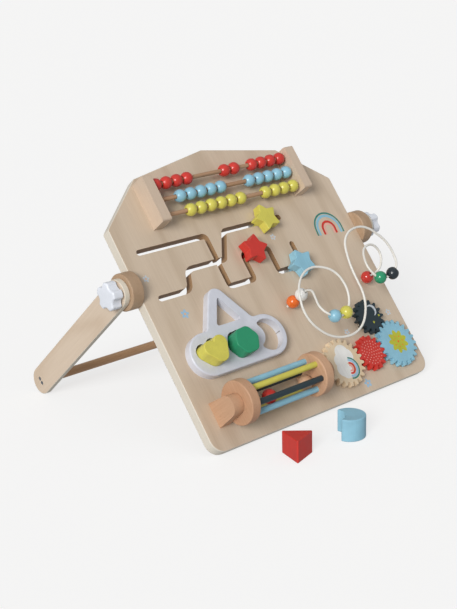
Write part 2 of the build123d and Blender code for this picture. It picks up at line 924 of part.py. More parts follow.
def make_leg_washers():
    washers = []
    for side in (-1, 1):
        start = side * (leg_outer_x + slide_gap)
        ring = cylinder_x(washer_radius, start, start + side * washer_thickness, hub_axis.Y, hub_axis.Z)
        ring -= cylinder_x(
            stud_hole_radius, start - side, start + side * (washer_thickness + 1), hub_axis.Y, hub_axis.Z
        )
        washers.append(ring)
    return washers


def make_knob(side):
    """Star knob with the threaded stud moulded into it."""
    ring = knob_radius + knob_scallop_radius - knob_scallop_depth
    outline = Circle(knob_radius)
    for lobe in range(knob_lobes):
        angle = radians(90 + 360 / knob_lobes * lobe)
        outline -= Pos(ring * cos(angle), ring * sin(angle)) * Circle(knob_scallop_radius)
    outline = fillet(outline.vertices(), knob_lobe_round)
    grip = extrude(outline, knob_thickness)
    grip = fillet(rims(grip, knob_thickness), knob_round)
    stud_end = half_width + hub_thickness - insert_length + 2
    stud = extrude(Circle(stud_radius), -(knob_inner_x - stud_end))
    return Plane(
        origin=(side * knob_inner_x, hub_axis.Y, hub_axis.Z), x_dir=(0, 1, 0), z_dir=(side, 0, 0)
    ).location * (grip + stud)


# ---- screws from the back of the panel --------------------------------------------------
def rear_screw_places():
    """Countersunk screws that hold the fixed pieces from behind."""
    places = []
    for side in (-1, 1):
        block_x = side * (abacus_half_span + abacus_block_width / 2)
        places += [(block_x, abacus_middle_y + end * rod_pitch / 2) for end in (-1, 1)]
    for end in (0, 1):
        bracket_x = sum(bracket_span(end)) / 2
        places += [(bracket_x, drum_axis_y + turn * drum_bracket_foot / 4) for turn in (-1, 1)]
    rim = sorter_lobe_radius - (sorter_lobe_radius - crescent_radius) / 2
    places += [(sorter_centres[0] - rim + 1, sorter_axle_y), (sorter_centres[2] + rim - 1, sorter_axle_y)]
    places.append((sorter_middle_x, sorter_peak_y + sorter_peak_radius / 2))
    return places


def rear_screw(margin):
    """Countersunk screw from the panel's back, head flush with it."""
    head_depth = rear_screw_head_radius - rear_screw_radius
    shank = cylinder_z(rear_screw_radius + margin, -panel_thickness, rear_screw_grip)
    head = Pos(0, 0, -panel_thickness) * Cone(
        rear_screw_head_radius + margin,
        rear_screw_radius + margin,
        head_depth,
        align=(Align.CENTER, Align.CENTER, Align.MIN),
    )
    return shank + head


def make_rear_screws():
    return [Pos(x, y) * rear_screw(0) for x, y in rear_screw_places()]


def rear_screw_cutters():
    return [Pos(x, y) * rear_screw(glue_gap) for x, y in rear_screw_places()]


def panel_hole_cutters():
    cutters = rear_screw_cutters() + wire_socket_cutters()
    for centre, teeth, phase in gear_places().values():
        bore = gear_axle_radius + running_gap
        cutters.append(cylinder_z(bore, -panel_thickness - 1, 1, centre.X, centre.Y))
    for side in (-1, 1):
        for y, z in hub_dowel_places():
            inner_x = side * (half_width - hub_dowel_length / 2)
            cutters.append(cylinder_x(hub_dowel_radius + glue_gap, inner_x, side * (half_width + 1), y, z))
    return cutters


# ---- the assembly -----------------------------------------------------------------------
def block_in_window(shape):
    """A shape block that has slid down against the lower side of its window."""
    x, y = sorter_windows()[shape]
    slide = window_gap - running_gap
    return Pos(x, y - slide, slide_gap) * make_block(shape)


def standing_block(shape, place, turn):
    """A loose shape block on the table."""
    return Pos(place[0], place[1], 0) * Rot(0, 0, turn) * make_block(shape)


def build_parts():
    """Every named piece in its place."""
    parts = {"board": make_panel(panel_hole_cutters())}
    for name, side in (("left", -1), ("right", 1)):
        parts[f"abacus_block_{name}"] = on_panel(make_abacus_block(side) - rear_screw_cutters())
        parts[f"hub_{name}"] = on_panel(make_hub(side))
        parts[f"leg_{name}"] = make_leg(side)
        parts[f"knob_{name}"] = make_knob(side)
    for name, end in (("left", 0), ("right", 1)):
        parts[f"drum_bracket_{name}"] = on_panel(make_drum_bracket(end) - rear_screw_cutters())
        parts[f"drum_disc_{name}"] = on_panel(make_drum_disc(end))
    parts["abacus_rods"] = [on_panel(rod) for rod in make_rods()]
    for name, (row, first_x, count) in bead_clusters.items():
        parts[f"abacus_beads_{name}"] = [on_panel(bead) for bead in make_bead_cluster(row, first_x, count)]
    parts["sorter_plate"] = on_panel(make_sorter_plate() - rear_screw_cutters())
    for block, shape in (("block_yellow_heart", "heart"), ("block_green_hexagon", "hexagon")):
        parts[block] = on_panel(block_in_window(shape))
    parts["block_red_triangle"] = standing_block("triangle", prism_place, prism_turn - 90)
    parts["block_blue_crescent"] = standing_block(
        "crescent", crescent_place, crescent_turn - crescent_bite_angle
    )
    for rod, colour in enumerate(("blue", "yellow", "navy")):
        parts[f"drum_rods_{colour}"] = [on_panel(bar) for bar in make_drum_rods(rod)]
    parts["drum_axle_pins"] = [on_panel(pin) for pin in make_drum_pins()]
    for name, x in drum_ball_x.items():
        parts[f"drum_ball_{name}"] = on_panel(make_drum_ball(x))
    for name in gear_places():
        parts[f"gear_{name}"] = on_panel(make_gear(name))
        parts[f"gear_axle_{name}"] = on_panel(make_gear_axle(name))
    for name in stars:
        parts[f"star_{name}"] = on_panel(make_star(name))
        parts[f"star_glide_{name}"] = on_panel(make_star_glide(name))
    parts["maze_wire"] = on_panel(make_maze_wire())
    for name in maze_bead_ways():
        parts[f"maze_bead_{name}"] = on_panel(make_maze_bead(name))
    parts["hub_dowels"] = [on_panel(dowel) for dowel in make_hub_dowels()]
    parts["hub_inserts"] = [on_panel(insert) for insert in make_hub_inserts()]
    parts["crossbar"] = make_crossbar()
    parts["leg_screws"] = make_leg_screws()
    parts["leg_washers"] = make_leg_washers()
    parts["rear_screws"] = [on_panel(screw) for screw in make_rear_screws()]
    return parts


def write_parts(parts):
    os.makedirs("parts", exist_ok=True)
    for name, shape in parts.items():
        solids = shape if isinstance(shape, list) else shape.solids()
        compound = solids[0] if len(solids) == 1 else Compound(children=solids)
        export_step(compound, f"parts/{name}.step")


if __name__ == "__main__":
    write_parts(build_parts())
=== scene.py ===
"""Looks for a leaning wooden busy board: materials, prints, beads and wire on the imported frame.

Lengths are in metres unless a comment or a name says millimetres. Pieces on the panel are laid
out in the panel's own frame: x to the right from the middle, y up the panel, z out of its face.
"""

import json
import logging
import math
from abc import ABC, abstractmethod
from dataclasses import dataclass, field
from enum import Enum
from typing import Any, Iterable, Sequence

import bmesh
import bpy
from mathutils import Matrix, Vector

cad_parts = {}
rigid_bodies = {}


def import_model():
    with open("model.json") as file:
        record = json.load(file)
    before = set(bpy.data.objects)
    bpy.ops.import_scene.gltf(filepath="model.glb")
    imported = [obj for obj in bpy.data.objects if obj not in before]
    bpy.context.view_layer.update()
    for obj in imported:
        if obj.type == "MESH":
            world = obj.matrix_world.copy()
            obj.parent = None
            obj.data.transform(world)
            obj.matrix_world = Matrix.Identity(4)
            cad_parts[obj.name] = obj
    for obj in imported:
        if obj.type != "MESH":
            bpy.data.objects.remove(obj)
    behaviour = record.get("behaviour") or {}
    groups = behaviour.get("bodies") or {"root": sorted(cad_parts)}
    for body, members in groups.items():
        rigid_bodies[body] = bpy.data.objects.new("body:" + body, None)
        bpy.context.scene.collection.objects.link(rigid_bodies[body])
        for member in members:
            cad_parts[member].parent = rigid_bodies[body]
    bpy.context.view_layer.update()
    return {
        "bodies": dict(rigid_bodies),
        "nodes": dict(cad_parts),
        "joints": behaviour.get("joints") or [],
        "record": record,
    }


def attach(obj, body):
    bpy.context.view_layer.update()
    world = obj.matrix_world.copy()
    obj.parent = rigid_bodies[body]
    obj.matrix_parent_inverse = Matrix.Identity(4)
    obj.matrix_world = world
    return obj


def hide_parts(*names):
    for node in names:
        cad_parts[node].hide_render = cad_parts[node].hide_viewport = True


LOG = logging.getLogger("busy_board")
MM = 0.001
HUB_HEIGHT_MM = 229.0  # hub axis above the panel's lower edge
FOOT_CENTRE_MM = 18.5  # height of the crossbar's axis over the floor
LEG_REACH_MM = 245.5  # hub axis to crossbar axis

Point2 = tuple[float, float]
Point3 = tuple[float, float, float]
Colour = tuple[float, float, float]
Loop = list[Point2]
Socket = bpy.types.NodeSocket


# ---------------------------------------------------------------------------------------------
# Frames shared with the CAD
# ---------------------------------------------------------------------------------------------
@dataclass(frozen=True)
class PanelFrame:
    """The tilted frame of the panel's front face."""

    lean: float = math.radians(38.3)
    thickness: float = 15.0 * MM
    flat: float = 4.0 * MM

    @property
    def normal(self) -> Vector:
        """Unit vector out of the front face, in the row frame."""
        return Vector((0.0, -math.cos(self.lean), math.sin(self.lean)))

    @property
    def matrix(self) -> Matrix:
        """Transform from the panel's frame to the row frame.

        Returns:
            The 4x4 matrix whose columns are the panel's x, y, z and origin.
        """
        sin, cos = math.sin(self.lean), math.cos(self.lean)
        depth = self.thickness - self.flat * cos
        origin = (0, -self.flat / 2 - depth * cos, depth * sin)
        columns = ((1, 0, 0), (0, sin, cos), (0, -cos, sin), origin)
        return Matrix([[column[row] for column in columns] for row in range(3)] + [[0, 0, 0, 1]])

    def at(self, x: float, y: float, z: float = 0.0) -> Vector:
        """Place a point of the panel's frame in the row frame.

        Args:
            x: Across the panel, in millimetres.
            y: Up the panel, in millimetres.
            z: Out of its front face, in millimetres.

        Returns:
            The point in metres.
        """
        return self.matrix @ (Vector((x, y, z)) * MM)


PANEL = PanelFrame()
HUB_AXIS = PANEL.at(0.0, HUB_HEIGHT_MM, -PANEL.thickness / MM / 2)
LEG_DROP = math.asin((HUB_AXIS.z - FOOT_CENTRE_MM * MM) / (LEG_REACH_MM * MM))


class Grain(Enum):
    """Direction of a wood's fibres, as the rotation that brings them onto the sampling Y axis."""

    UP_PANEL = (PANEL.lean - math.pi / 2, 0.0, 0.0)
    OUT_OF_PANEL = (PANEL.lean, 0.0, 0.0)
    ACROSS = (0.0, 0.0, math.pi / 2)
    ALONG_LEG = (LEG_DROP, 0.0, 0.0)
    UPRIGHT = (-math.pi / 2, 0.0, 0.0)


# ---------------------------------------------------------------------------------------------
# Shader building
# ---------------------------------------------------------------------------------------------
@dataclass
class Graph:
    """Thin wrapper that adds and links shader nodes in one tree."""

    tree: bpy.types.NodeTree

    def add(
        self, kind: str, inputs: dict[Any, Any] | None = None, **settings: Any
    ) -> bpy.types.Node:
        """Add a node.

        Args:
            kind: Node type without its "ShaderNode" prefix.
            inputs: Values or sockets by input name or index.
            **settings: Attributes to set on the node before its inputs.

        Returns:
            The new node.
        """
        prefix = "" if kind.startswith("Node") else "ShaderNode"
        node = self.tree.nodes.new(prefix + kind)
        for key, value in settings.items():
            setattr(node, key, value)
        for key, value in (inputs or {}).items():
            if isinstance(value, bpy.types.NodeSocket):
                self.tree.links.new(value, node.inputs[key])
            else:
                node.inputs[key].default_value = value
        return node

    def math(self, operation: str, a: Any, b: Any = 0.0, clamp: bool = False) -> Socket:
        """Two-input maths node; returns its output socket."""
        node = self.add("Math", {0: a, 1: b}, operation=operation, use_clamp=clamp)
        return node.outputs[0]

    def dot(self, a: Any, b: Any) -> Socket:
        """Dot product of two vectors; returns its output socket."""
        return self.add("VectorMath", {0: a, 1: b}, operation="DOT_PRODUCT").outputs["Value"]

    def mix(self, factor: Any, a: Any, b: Any) -> Socket:
        """Colour mix; returns its output socket."""
        return self.add("Mix", {0: factor, 6: a, 7: b}, data_type="RGBA").outputs[2]

    def noise(self, vector: Any, scale: Any, detail: float = 3.0, rough: float = 0.5) -> Socket:
        """Noise texture value; returns its output socket."""
        inputs = {"Vector": vector, "Scale": scale, "Detail": detail, "Roughness": rough}
        return self.add("TexNoise", inputs).outputs[0]

    def stretch(self, vector: Any, scale: Point3) -> Socket:
        """Scale a vector by axis; returns its output socket."""
        return self.add("VectorMath", {0: vector, 1: scale}, operation="MULTIPLY").outputs[0]

    def span(
        self, value: Any, low: float, high: float, to_low: float = 0.0, to_high: float = 1.0
    ) -> Socket:
        """Clamped remap of a value; returns its output socket."""
        inputs = {"Value": value, 1: low, 2: high, 3: to_low, 4: to_high}
        return self.add("MapRange", inputs, clamp=True).outputs[0]

    def link(self, source: Socket, node: bpy.types.Node, name: str) -> None:
        """Join a socket to a node's named input."""
        self.tree.links.new(source, node.inputs[name])


def rgba(colour: Colour) -> tuple[float, float, float, float]:
    """Scene-linear colour with full alpha from an sRGB triple of 0 to 255.

    Args:
        colour: Red, green and blue as they look on a screen.

    Returns:
        Linear red, green, blue and an alpha of one.
    """
    linear = [v / 255 / 12.92 if v <= 10.3 else ((v / 255 + 0.055) / 1.055) ** 2.4 for v in colour]
    return (linear[0], linear[1], linear[2], 1.0)


class Effect(Enum):
    """Shader node groups that several finishes share."""

    GRAIN = "fx_wood_grain"
    PAINT = "fx_paint_film"
    FACES = "fx_sheet_faces"
    SPECKLE = "fx_fine_speckle"


class EffectLibrary:
    """Builds each shared node group once."""

    def __init__(self) -> None:
        """Start with no group built."""
        self._groups: dict[Effect, bpy.types.NodeTree] = {}
        self._makers = {
            Effect.GRAIN: self._grain,
            Effect.PAINT: self._paint,
            Effect.FACES: self._faces,
            Effect.SPECKLE: self._speckle,
        }

    def get(self, effect: Effect) -> bpy.types.NodeTree:
        """The node group of an effect.

        Args:
            effect: Which shared effect.

        Returns:
            Its shader node tree.
        """
        if effect not in self._groups:
            self._groups[effect] = self._makers[effect](effect.value)
        return self._groups[effect]

    @staticmethod
    def _start(
        name: str, takes: dict[str, str], gives: dict[str, str]
    ) -> tuple[Graph, bpy.types.Node, bpy.types.Node]:
        """Begin a node group.

        Args:
            name: Name of the group.
            takes: Kind of each input socket by name, without its "NodeSocket" prefix.
            gives: Kind of each output socket by name.

        Returns:
            The group's graph, its input node and its output node.
        """
        tree = bpy.data.node_groups.new(name, "ShaderNodeTree")
        for direction, sockets in (("INPUT", takes), ("OUTPUT", gives)):
            for label, kind in sockets.items():
                socket = f"NodeSocket{kind}"
                tree.interface.new_socket(name=label, in_out=direction, socket_type=socket)
        graph = Graph(tree)
        return graph, graph.add("NodeGroupInput"), graph.add("NodeGroupOutput")

    def _grain(self, name: str) -> bpy.types.NodeTree:
        """Growth bands, long fibres and short flecks along the sampling Y axis.

        Args:
            name: Name of the group.

        Returns:
            The group; its three strengths say how far each mark darkens the wood.
        """
        takes = {"Vector": "Vector", "Light": "Color", "Dark": "Color"}
        takes |= {"Bands": "Float", "Fibres": "Float", "Flecks": "Float"}
        g, given, result = self._start(name, takes, {"Color": "Color", "Height": "Float"})
        vector = given.outputs["Vector"]

        drift = g.noise(g.stretch(vector, (1.0, 0.16, 1.0)), 9.0, 2.0, 0.45)
        wander = g.noise(g.stretch(vector, (1.0, 0.35, 1.0)), 46.0, 2.0, 0.5)
        phase = g.math("ADD", g.math("MULTIPLY", drift, 44.0), g.math("MULTIPLY", wander, 1.6))
        bands = g.math("POWER", g.span(g.math("SINE", phase), -0.55, 1.0), 1.7)

        fibres = g.noise(g.stretch(vector, (1.0, 0.03, 1.0)), 620.0, 3.0, 0.62)
        threads = g.span(fibres, 0.32, 0.72)
        flecks = g.noise(g.stretch(vector, (1.0, 0.16, 1.0)), 900.0, 1.0, 0.4)
        marks = g.span(flecks, 0.64, 0.76)
        patch = g.span(g.noise(g.stretch(vector, (1.0, 0.3, 1.0)), 14.0, 2.0), 0.3, 0.7)

        tone = g.math("MULTIPLY", bands, given.outputs["Bands"])
        tone = g.math("ADD", tone, g.math("MULTIPLY", threads, given.outputs["Fibres"]))
        tone = g.math("ADD", tone, g.math("MULTIPLY", patch, 0.16))
        tone = g.math("ADD", tone, g.math("MULTIPLY", marks, given.outputs["Flecks"]), clamp=True)
        g.link(g.mix(tone, given.outputs["Light"], given.outputs["Dark"]), result, "Color")
        g.link(g.math("SUBTRACT", threads, g.math("MULTIPLY", marks, 0.7)), result, "Height")
        return g.tree

    def _paint(self, name: str) -> bpy.types.NodeTree:
        """Thin paint over wood: the grain shows through and the coat is a little uneven.

        Args:
            name: Name of the group.

        Returns:
            The group; its Telegraph input says how far the grain shows through.
        """
        takes = {"Vector": "Vector", "Colour": "Color", "Telegraph": "Float"}
        gives = {"Color": "Color", "Sheen Break": "Float", "Height": "Float"}
        g, given, result = self._start(name, takes, gives)
        vector = given.outputs["Vector"]
        lines = g.noise(g.stretch(vector, (1.0, 0.05, 1.0)), 520.0, 3.0, 0.6)
        pool = g.span(g.noise(vector, 60.0, 3.0, 0.55), 0.3, 0.7, -0.5, 0.5)
        streaks = g.span(lines, 0.3, 0.75, -0.5, 0.5)
        shade = g.math("MULTIPLY", streaks, given.outputs["Telegraph"])
        shade = g.math("ADD", shade, g.math("MULTIPLY", pool, 0.12))
        bright = g.math("ADD", shade, 1.0)
        hsv = g.add("HueSaturation", {"Value": bright, "Color": given.outputs["Colour"]})
        g.link(hsv.outputs[0], result, "Color")
        g.link(pool, result, "Sheen Break")
        peel = g.noise(vector, 1400.0, 2.0, 0.5)
        relief = g.math("ADD", g.math("MULTIPLY", lines, 0.6), g.math("MULTIPLY", peel, 0.4))
        g.link(relief, result, "Height")
        return g.tree

    def _faces(self, name: str) -> bpy.types.NodeTree:
        """Mask of a sheet's broad faces, and the stack of plies on its cut edges.

        Args:
            name: Name of the group.

        Returns:
            The group; Axis is the thickness direction, Plies the stripes' phase per metre.
        """
        takes = {"Vector": "Vector", "Normal": "Vector", "Axis": "Vector", "Plies": "Float"}
        g, given, result = self._start(name, takes, {"Face": "Float", "Ply": "Float"})
        place, axis = given.outputs["Vector"], given.outputs["Axis"]
        along = g.math("ABSOLUTE", g.dot(given.outputs["Normal"], axis))
        g.link(g.span(along, 0.80, 0.93), result, "Face")
        phase = g.math("MULTIPLY", g.dot(place, axis), given.outputs["Plies"])
        ripple = g.noise(place, 160.0, 2.0)
        phase = g.math("ADD", phase, g.math("MULTIPLY", ripple, 0.5))
        g.link(g.span(g.math("SINE", phase), -0.2, 0.35), result, "Ply")
        return g.tree

    def _speckle(self, name: str) -> bpy.types.NodeTree:
        """Fine even texture of moulded plastic, plated steel or powder coat.

        Args:
            name: Name of the group.

        Returns:
            The group; a larger Scale makes the texture finer.
        """
        takes = {"Vector": "Vector", "Scale": "Float"}
        g, given, result = self._start(name, takes, {"Tone": "Float", "Height": "Float"})
        fine = g.noise(given.outputs["Vector"], given.outputs["Scale"], 4.0)
        broad = g.noise(given.outputs["Vector"], 38.0, 2.0)
        tone = g.math("ADD", g.math("MULTIPLY", fine, 0.4), g.math("MULTIPLY", broad, 0.6))
        g.link(tone, result, "Tone")
        g.link(fine, result, "Height")
        return g.tree


EFFECTS = EffectLibrary()
PLY_SHADE = 0.93  # tone of the darker plies against the lighter
SPECK_SHADE = 0.93  # tone of the texture's hollows against its high spots


@dataclass(frozen=True)
class Finish(ABC):
    """A surface finish that can make its own material."""

    name: str
    roughness: float

    @abstractmethod
    def _shade(self, g: Graph, shader: bpy.types.Node) -> None:
        """Wire the finish into its Principled shader.

        Args:
            g: Graph of the material.
            shader: Its Principled node.
        """

    def material(self) -> bpy.types.Material:
        """Get or make the Blender material.

        Returns:
            The material that carries this finish's name.
        """
        label = f"finish_{self.name}"
        ready = bpy.data.materials.get(label)
        if ready is not None:
            return ready
        made = bpy.data.materials.new(label)
        made.use_nodes = True
        made.node_tree.nodes.clear()
        g = Graph(made.node_tree)
        shader = g.add("BsdfPrincipled", {"Roughness": self.roughness})
        g.add("OutputMaterial", {"Surface": shader.outputs[0]})
        self._shade(g, shader)
        return made

    @staticmethod
    def _bump(g: Graph, shader: bpy.types.Node, height: Any, strength: float, depth: float) -> None:
        """Feed a height through a bump of a given strength and depth into the normal."""
        bump = g.add("Bump", {"Height": height, "Strength": strength, "Distance": depth})
        g.link(bump.outputs[0], shader, "Normal")

    @staticmethod
    def _along(g: Graph, grain: Grain) -> Socket:
        """Coordinates turned so that the fibres run along Y; returns the vector socket."""
        place = g.add("TexCoord").outputs["Object"]
        return g.add("Mapping", {"Vector": place, "Rotation": grain.value}).outputs[0]

    @staticmethod
    def _effect(g: Graph, effect: Effect, inputs: dict[str, Any]) -> bpy.types.Node:
        """Place a shared effect with its own values; returns its node."""
        return g.add("Group", inputs, node_tree=EFFECTS.get(effect))


@dataclass(frozen=True)
class WoodFinish(Finish):
    """Bare or clear-lacquered wood.

    A sheet with an edge colour also shows its plies on the edges, and one with a slot-wall colour
    has
    painted shade: its slot walls between the two given heights (metres over the floor) are darker.
    """

    light: Colour
    dark: Colour
    grain: Grain
    bands: float
    fibres: float
    flecks: float
    edge: Colour | None = None
    edge_axis: Point3 = (0.0, 0.0, 1.0)
    plies: float = 0.0
    # Painted shade: the slot walls take this darker colour in place of the shade inside the slots.
    cut: Colour | None = None
    cut_half_width: float = 0.19
    cut_heights: tuple[float, float] = (0.132, 0.236)

    def _shade(self, g: Graph, shader: bpy.types.Node) -> None:
        """Wire grain, plies and the painted shade of the slot walls into the shader.

        Args:
            g: Graph of the material.
            shader: Its Principled node.
        """
        inputs = {"Vector": self._along(g, self.grain)}
        inputs |= {"Light": rgba(self.light), "Dark": rgba(self.dark)}
        inputs |= {"Bands": self.bands, "Fibres": self.fibres, "Flecks": self.flecks}
        grain = self._effect(g, Effect.GRAIN, inputs)
        colour, height = grain.outputs["Color"], grain.outputs["Height"]
        if self.edge is not None:
            colour = self._edged(g, colour)
        g.link(colour, shader, "Base Color")
        rough = g.span(height, 0.0, 1.0, self.roughness + 0.06, self.roughness - 0.05)
        g.link(rough, shader, "Roughness")
        self._bump(g, shader, height, 0.22, 0.00012)

    def _edged(self, g: Graph, face: Socket) -> Socket:
        """Lay the plies on the sheet's edges and painted shade on its slot walls.

        Args:
            g: Graph of the material.
            face: Colour of the broad faces.

        Returns:
            The colour of the whole sheet.
        """
        coordinates = g.add("TexCoord")
        place = coordinates.outputs["Object"]
        inputs = {"Vector": place, "Normal": coordinates.outputs["Normal"]}
        inputs |= {"Axis": self.edge_axis, "Plies": self.plies}
        faces = self._effect(g, Effect.FACES, inputs)
        darker = tuple(v * PLY_SHADE for v in self.edge)
        stack = g.mix(faces.outputs["Ply"], rgba(darker), rgba(self.edge))
        if self.cut is not None:
            # Painted shade: the slot walls take the darker colour as if they lay in shade.
            stack = g.mix(self._slot_shade_mask(g, place), stack, rgba(self.cut))
        return g.mix(faces.outputs["Face"], stack, face)

    def _slot_shade_mask(self, g: Graph, place: Socket) -> Socket:
        """Mask of the slot walls that get painted shade: walls that lie inside the sheet's outline.

        Args:
            g: Graph of the material.
            place: Object coordinates.

        Returns:
            The mask, 1 inside.
        """
        split = g.add("SeparateXYZ", {0: place})
        low, high = self.cut_heights
        side = g.math("LESS_THAN", g.math("ABSOLUTE", split.outputs[0]), self.cut_half_width)
        above = g.math("GREATER_THAN", split.outputs[2], low)
        below = g.math("LESS_THAN", split.outputs[2], high)
        return g.math("MULTIPLY", side, g.math("MULTIPLY", above, below))


@dataclass(frozen=True)
class PaintFinish(Finish):
    """Opaque paint on wood."""

    colour: Colour = (255, 255, 255)
    grain: Grain = Grain.UP_PANEL
    telegraph: float = 0.08
    coat: float = 0.0
    coat_roughness: float = 0.18

    def _shade(self, g: Graph, shader: bpy.types.Node) -> None:
        """Wire the paint film into the shader.

        Args:
            g: Graph of the material.
            shader: Its Principled node.
        """
        inputs = {"Vector": self._along(g, self.grain), "Colour": rgba(self.colour)}
        film = self._effect(g, Effect.PAINT, inputs | {"Telegraph": self.telegraph})
        g.link(film.outputs["Color"], shader, "Base Color")
        sheen = film.outputs["Sheen Break"]
        rough = g.span(sheen, -0.5, 0.5, self.roughness - 0.05, self.roughness + 0.06)
        g.link(rough, shader, "Roughness")
        shader.inputs["Coat Weight"].default_value = self.coat
        shader.inputs["Coat Roughness"].default_value = self.coat_roughness
        self._bump(g, shader, film.outputs["Height"], 0.12, 0.00008)


@dataclass(frozen=True)
class SpeckleFinish(Finish):
    """Moulded plastic, plated steel, brass or powder coat."""

    colour: Colour = (230, 230, 230)
    metallic: float = 0.0
    scale: float = 900.0
    relief: float = 0.08

    def _shade(self, g: Graph, shader: bpy.types.Node) -> None:
        """Wire the fine texture into the shader.

        Args:
            g: Graph of the material.
            shader: Its Principled node.
        """
        place = g.add("TexCoord").outputs["Object"]
        speck = self._effect(g, Effect.SPECKLE, {"Vector": place, "Scale": self.scale})
        tone = speck.outputs["Tone"]
        shadow = tuple(v * SPECK_SHADE for v in self.colour)
        colour = g.mix(g.span(tone, 0.3, 0.65), rgba(shadow), rgba(self.colour))
        g.link(colour, shader, "Base Color")
        rough = g.span(tone, 0.3, 0.7, self.roughness - 0.05, self.roughness + 0.07)
        g.link(rough, shader, "Roughness")
        shader.inputs["Metallic"].default_value = self.metallic
        self._bump(g, shader, speck.outputs["Height"], self.relief, 0.00006)


@dataclass(frozen=True)
class PaperFinish(Finish):
    """Even background paper whose own glow keeps the shadows on it faint."""

    colour: Colour = (150, 150, 150)
    glow: float = 0.6

    def _shade(self, g: Graph, shader: bpy.types.Node) -> None:
        """Set the plain colour and glow.

        Args:
            g: Graph of the material.
            shader: Its Principled node.
        """
        shader.inputs["Base Color"].default_value = rgba(self.colour)
        shader.inputs["Emission Color"].default_value = (1.0, 1.0, 1.0, 1.0)
        shader.inputs["Emission Strength"].default_value = self.glow
        shader.inputs["Specular IOR Level"].default_value = 0.0


class Tint(Enum):
    """Paint colours of the play pieces, as they look on a screen."""

    RED = (208, 56, 47)
    BLUE = (144, 196, 218)
    YELLOW = (214, 206, 92)
    NAVY = (42, 58, 66)
    GREEN = (40, 150, 108)
    ORANGE = (234, 110, 38)
    BLACK = (34, 44, 52)
    WHITE = (238, 238, 236)
    PEACH = (232, 188, 150)
    TEAL = (52, 132, 122)
    MIST = (206, 214, 222)
    SKY = (160, 198, 226)
    PINK = (240, 170, 160)
    LIME = (188, 190, 58)


def paint(
    tint: Tint, roughness: float = 0.42, grain: Grain = Grain.UP_PANEL, coat: float = 0.0
) -> PaintFinish:
    """Paint finish of a named colour.

    Args:
        tint: The colour.
        roughness: Gloss of the dry film.
        grain: Direction of the wood under the paint.
        coat: Weight of a clear coat over it.

    Returns:
        A finish whose name is unique to those values.
    """
    name = f"paint_{tint.name.lower()}_{grain.name.lower()}_{round(roughness * 100)}"
    return PaintFinish(name, roughness, tint.value, grain, coat=coat)


def wood(
    name: str, roughness: float, light: Colour, dark: Colour, grain: Grain,
    marks: tuple[float, float, float] = (0.30, 0.30, 0.35), **sheet: Any
) -> WoodFinish:
    """Wood finish from its two tones.

    Args:
        name: Name of the finish.
        roughness: Gloss of the surface.
        light: Colour of the early wood.
        dark: Colour of the late wood.
        grain: Direction of the fibres.
        marks: Strengths of bands, fibres and flecks.
        **sheet: Edge, plies and the painted shade of the slot walls of a sheet.

    Returns:
        The finish.
    """
    return WoodFinish(name, roughness, light, dark, grain, *marks, **sheet)


BIRCH_MARKS = (0.34, 0.26, 0.10)
LEG_MARKS = (0.30, 0.26, 0.10)
BLOCK_MARKS = (0.28, 0.28, 0.3)
ROD_MARKS = (0.2, 0.4, 0.3)
BAR_MARKS = (0.3, 0.35, 0.35)
MAPLE_MARKS = (0.3, 0.25, 0.15)
PLY_PHASE = 4200.0  # radians per metre through the sheet: a ply of each tone every 1.5 mm

PLY_FACE = wood(
    "birch_ply_panel", 0.46, (217, 199, 178), (190, 169, 145), Grain.UP_PANEL, BIRCH_MARKS,
    # The darker colour of the slot walls is painted shade inside the slots.
    edge=(234, 226, 212), edge_axis=tuple(PANEL.normal), plies=PLY_PHASE, cut=(172, 138, 102),
)
PLY_LEG = wood(
    "birch_ply_leg", 0.48, (224, 206, 186), (199, 176, 151), Grain.ALONG_LEG, LEG_MARKS,
    edge=(236, 228, 212), edge_axis=(1.0, 0.0, 0.0), plies=PLY_PHASE,
)
BEECH = {
    grain: wood(f"beech_{grain.name.lower()}", 0.50, (210, 170, 138), (178, 132, 100), grain)
    for grain in Grain
}
BLOCK_WOOD = wood(
    "end_block_beech", 0.50, (214, 194, 174), (192, 167, 143), Grain.UP_PANEL, BLOCK_MARKS
)
HUB_WOOD = wood("hub_beech", 0.50, (190, 162, 134), (160, 130, 102), Grain.UP_PANEL)
ROD_WOOD = wood("rod_hardwood", 0.5, (196, 158, 126), (150, 112, 82), Grain.ACROSS, ROD_MARKS)
CROSSBAR = wood("crossbar_beech", 0.48, (214, 176, 138), (184, 140, 104), Grain.ACROSS, BAR_MARKS)
PALE_WOOD = wood(
    "pale_maple", 0.48, (234, 214, 184), (210, 182, 146), Grain.UP_PANEL, MAPLE_MARKS
)
WHITE_LACQUER = PaintFinish("white_lacquer", 0.36, (214, 217, 228), telegraph=0.05, coat=0.2)
POWDER_COAT = SpeckleFinish("white_powder_coat", 0.34, (236, 234, 228), 0.0, 1500.0, 0.10)
ZINC = SpeckleFinish("zinc_plate", 0.34, (178, 180, 184), 1.0, 700.0, 0.06)
BRASS = SpeckleFinish("plain_brass", 0.32, (200, 164, 96), 1.0, 700.0, 0.06)
KNOB_PLASTIC = SpeckleFinish("moulded_knob_white", 0.30, (240, 245, 255), 0.0, 1100.0, 0.05)
GLIDE_PLASTIC = SpeckleFinish("moulded_glide_white", 0.42, (224, 222, 216), 0.0, 1100.0, 0.05)


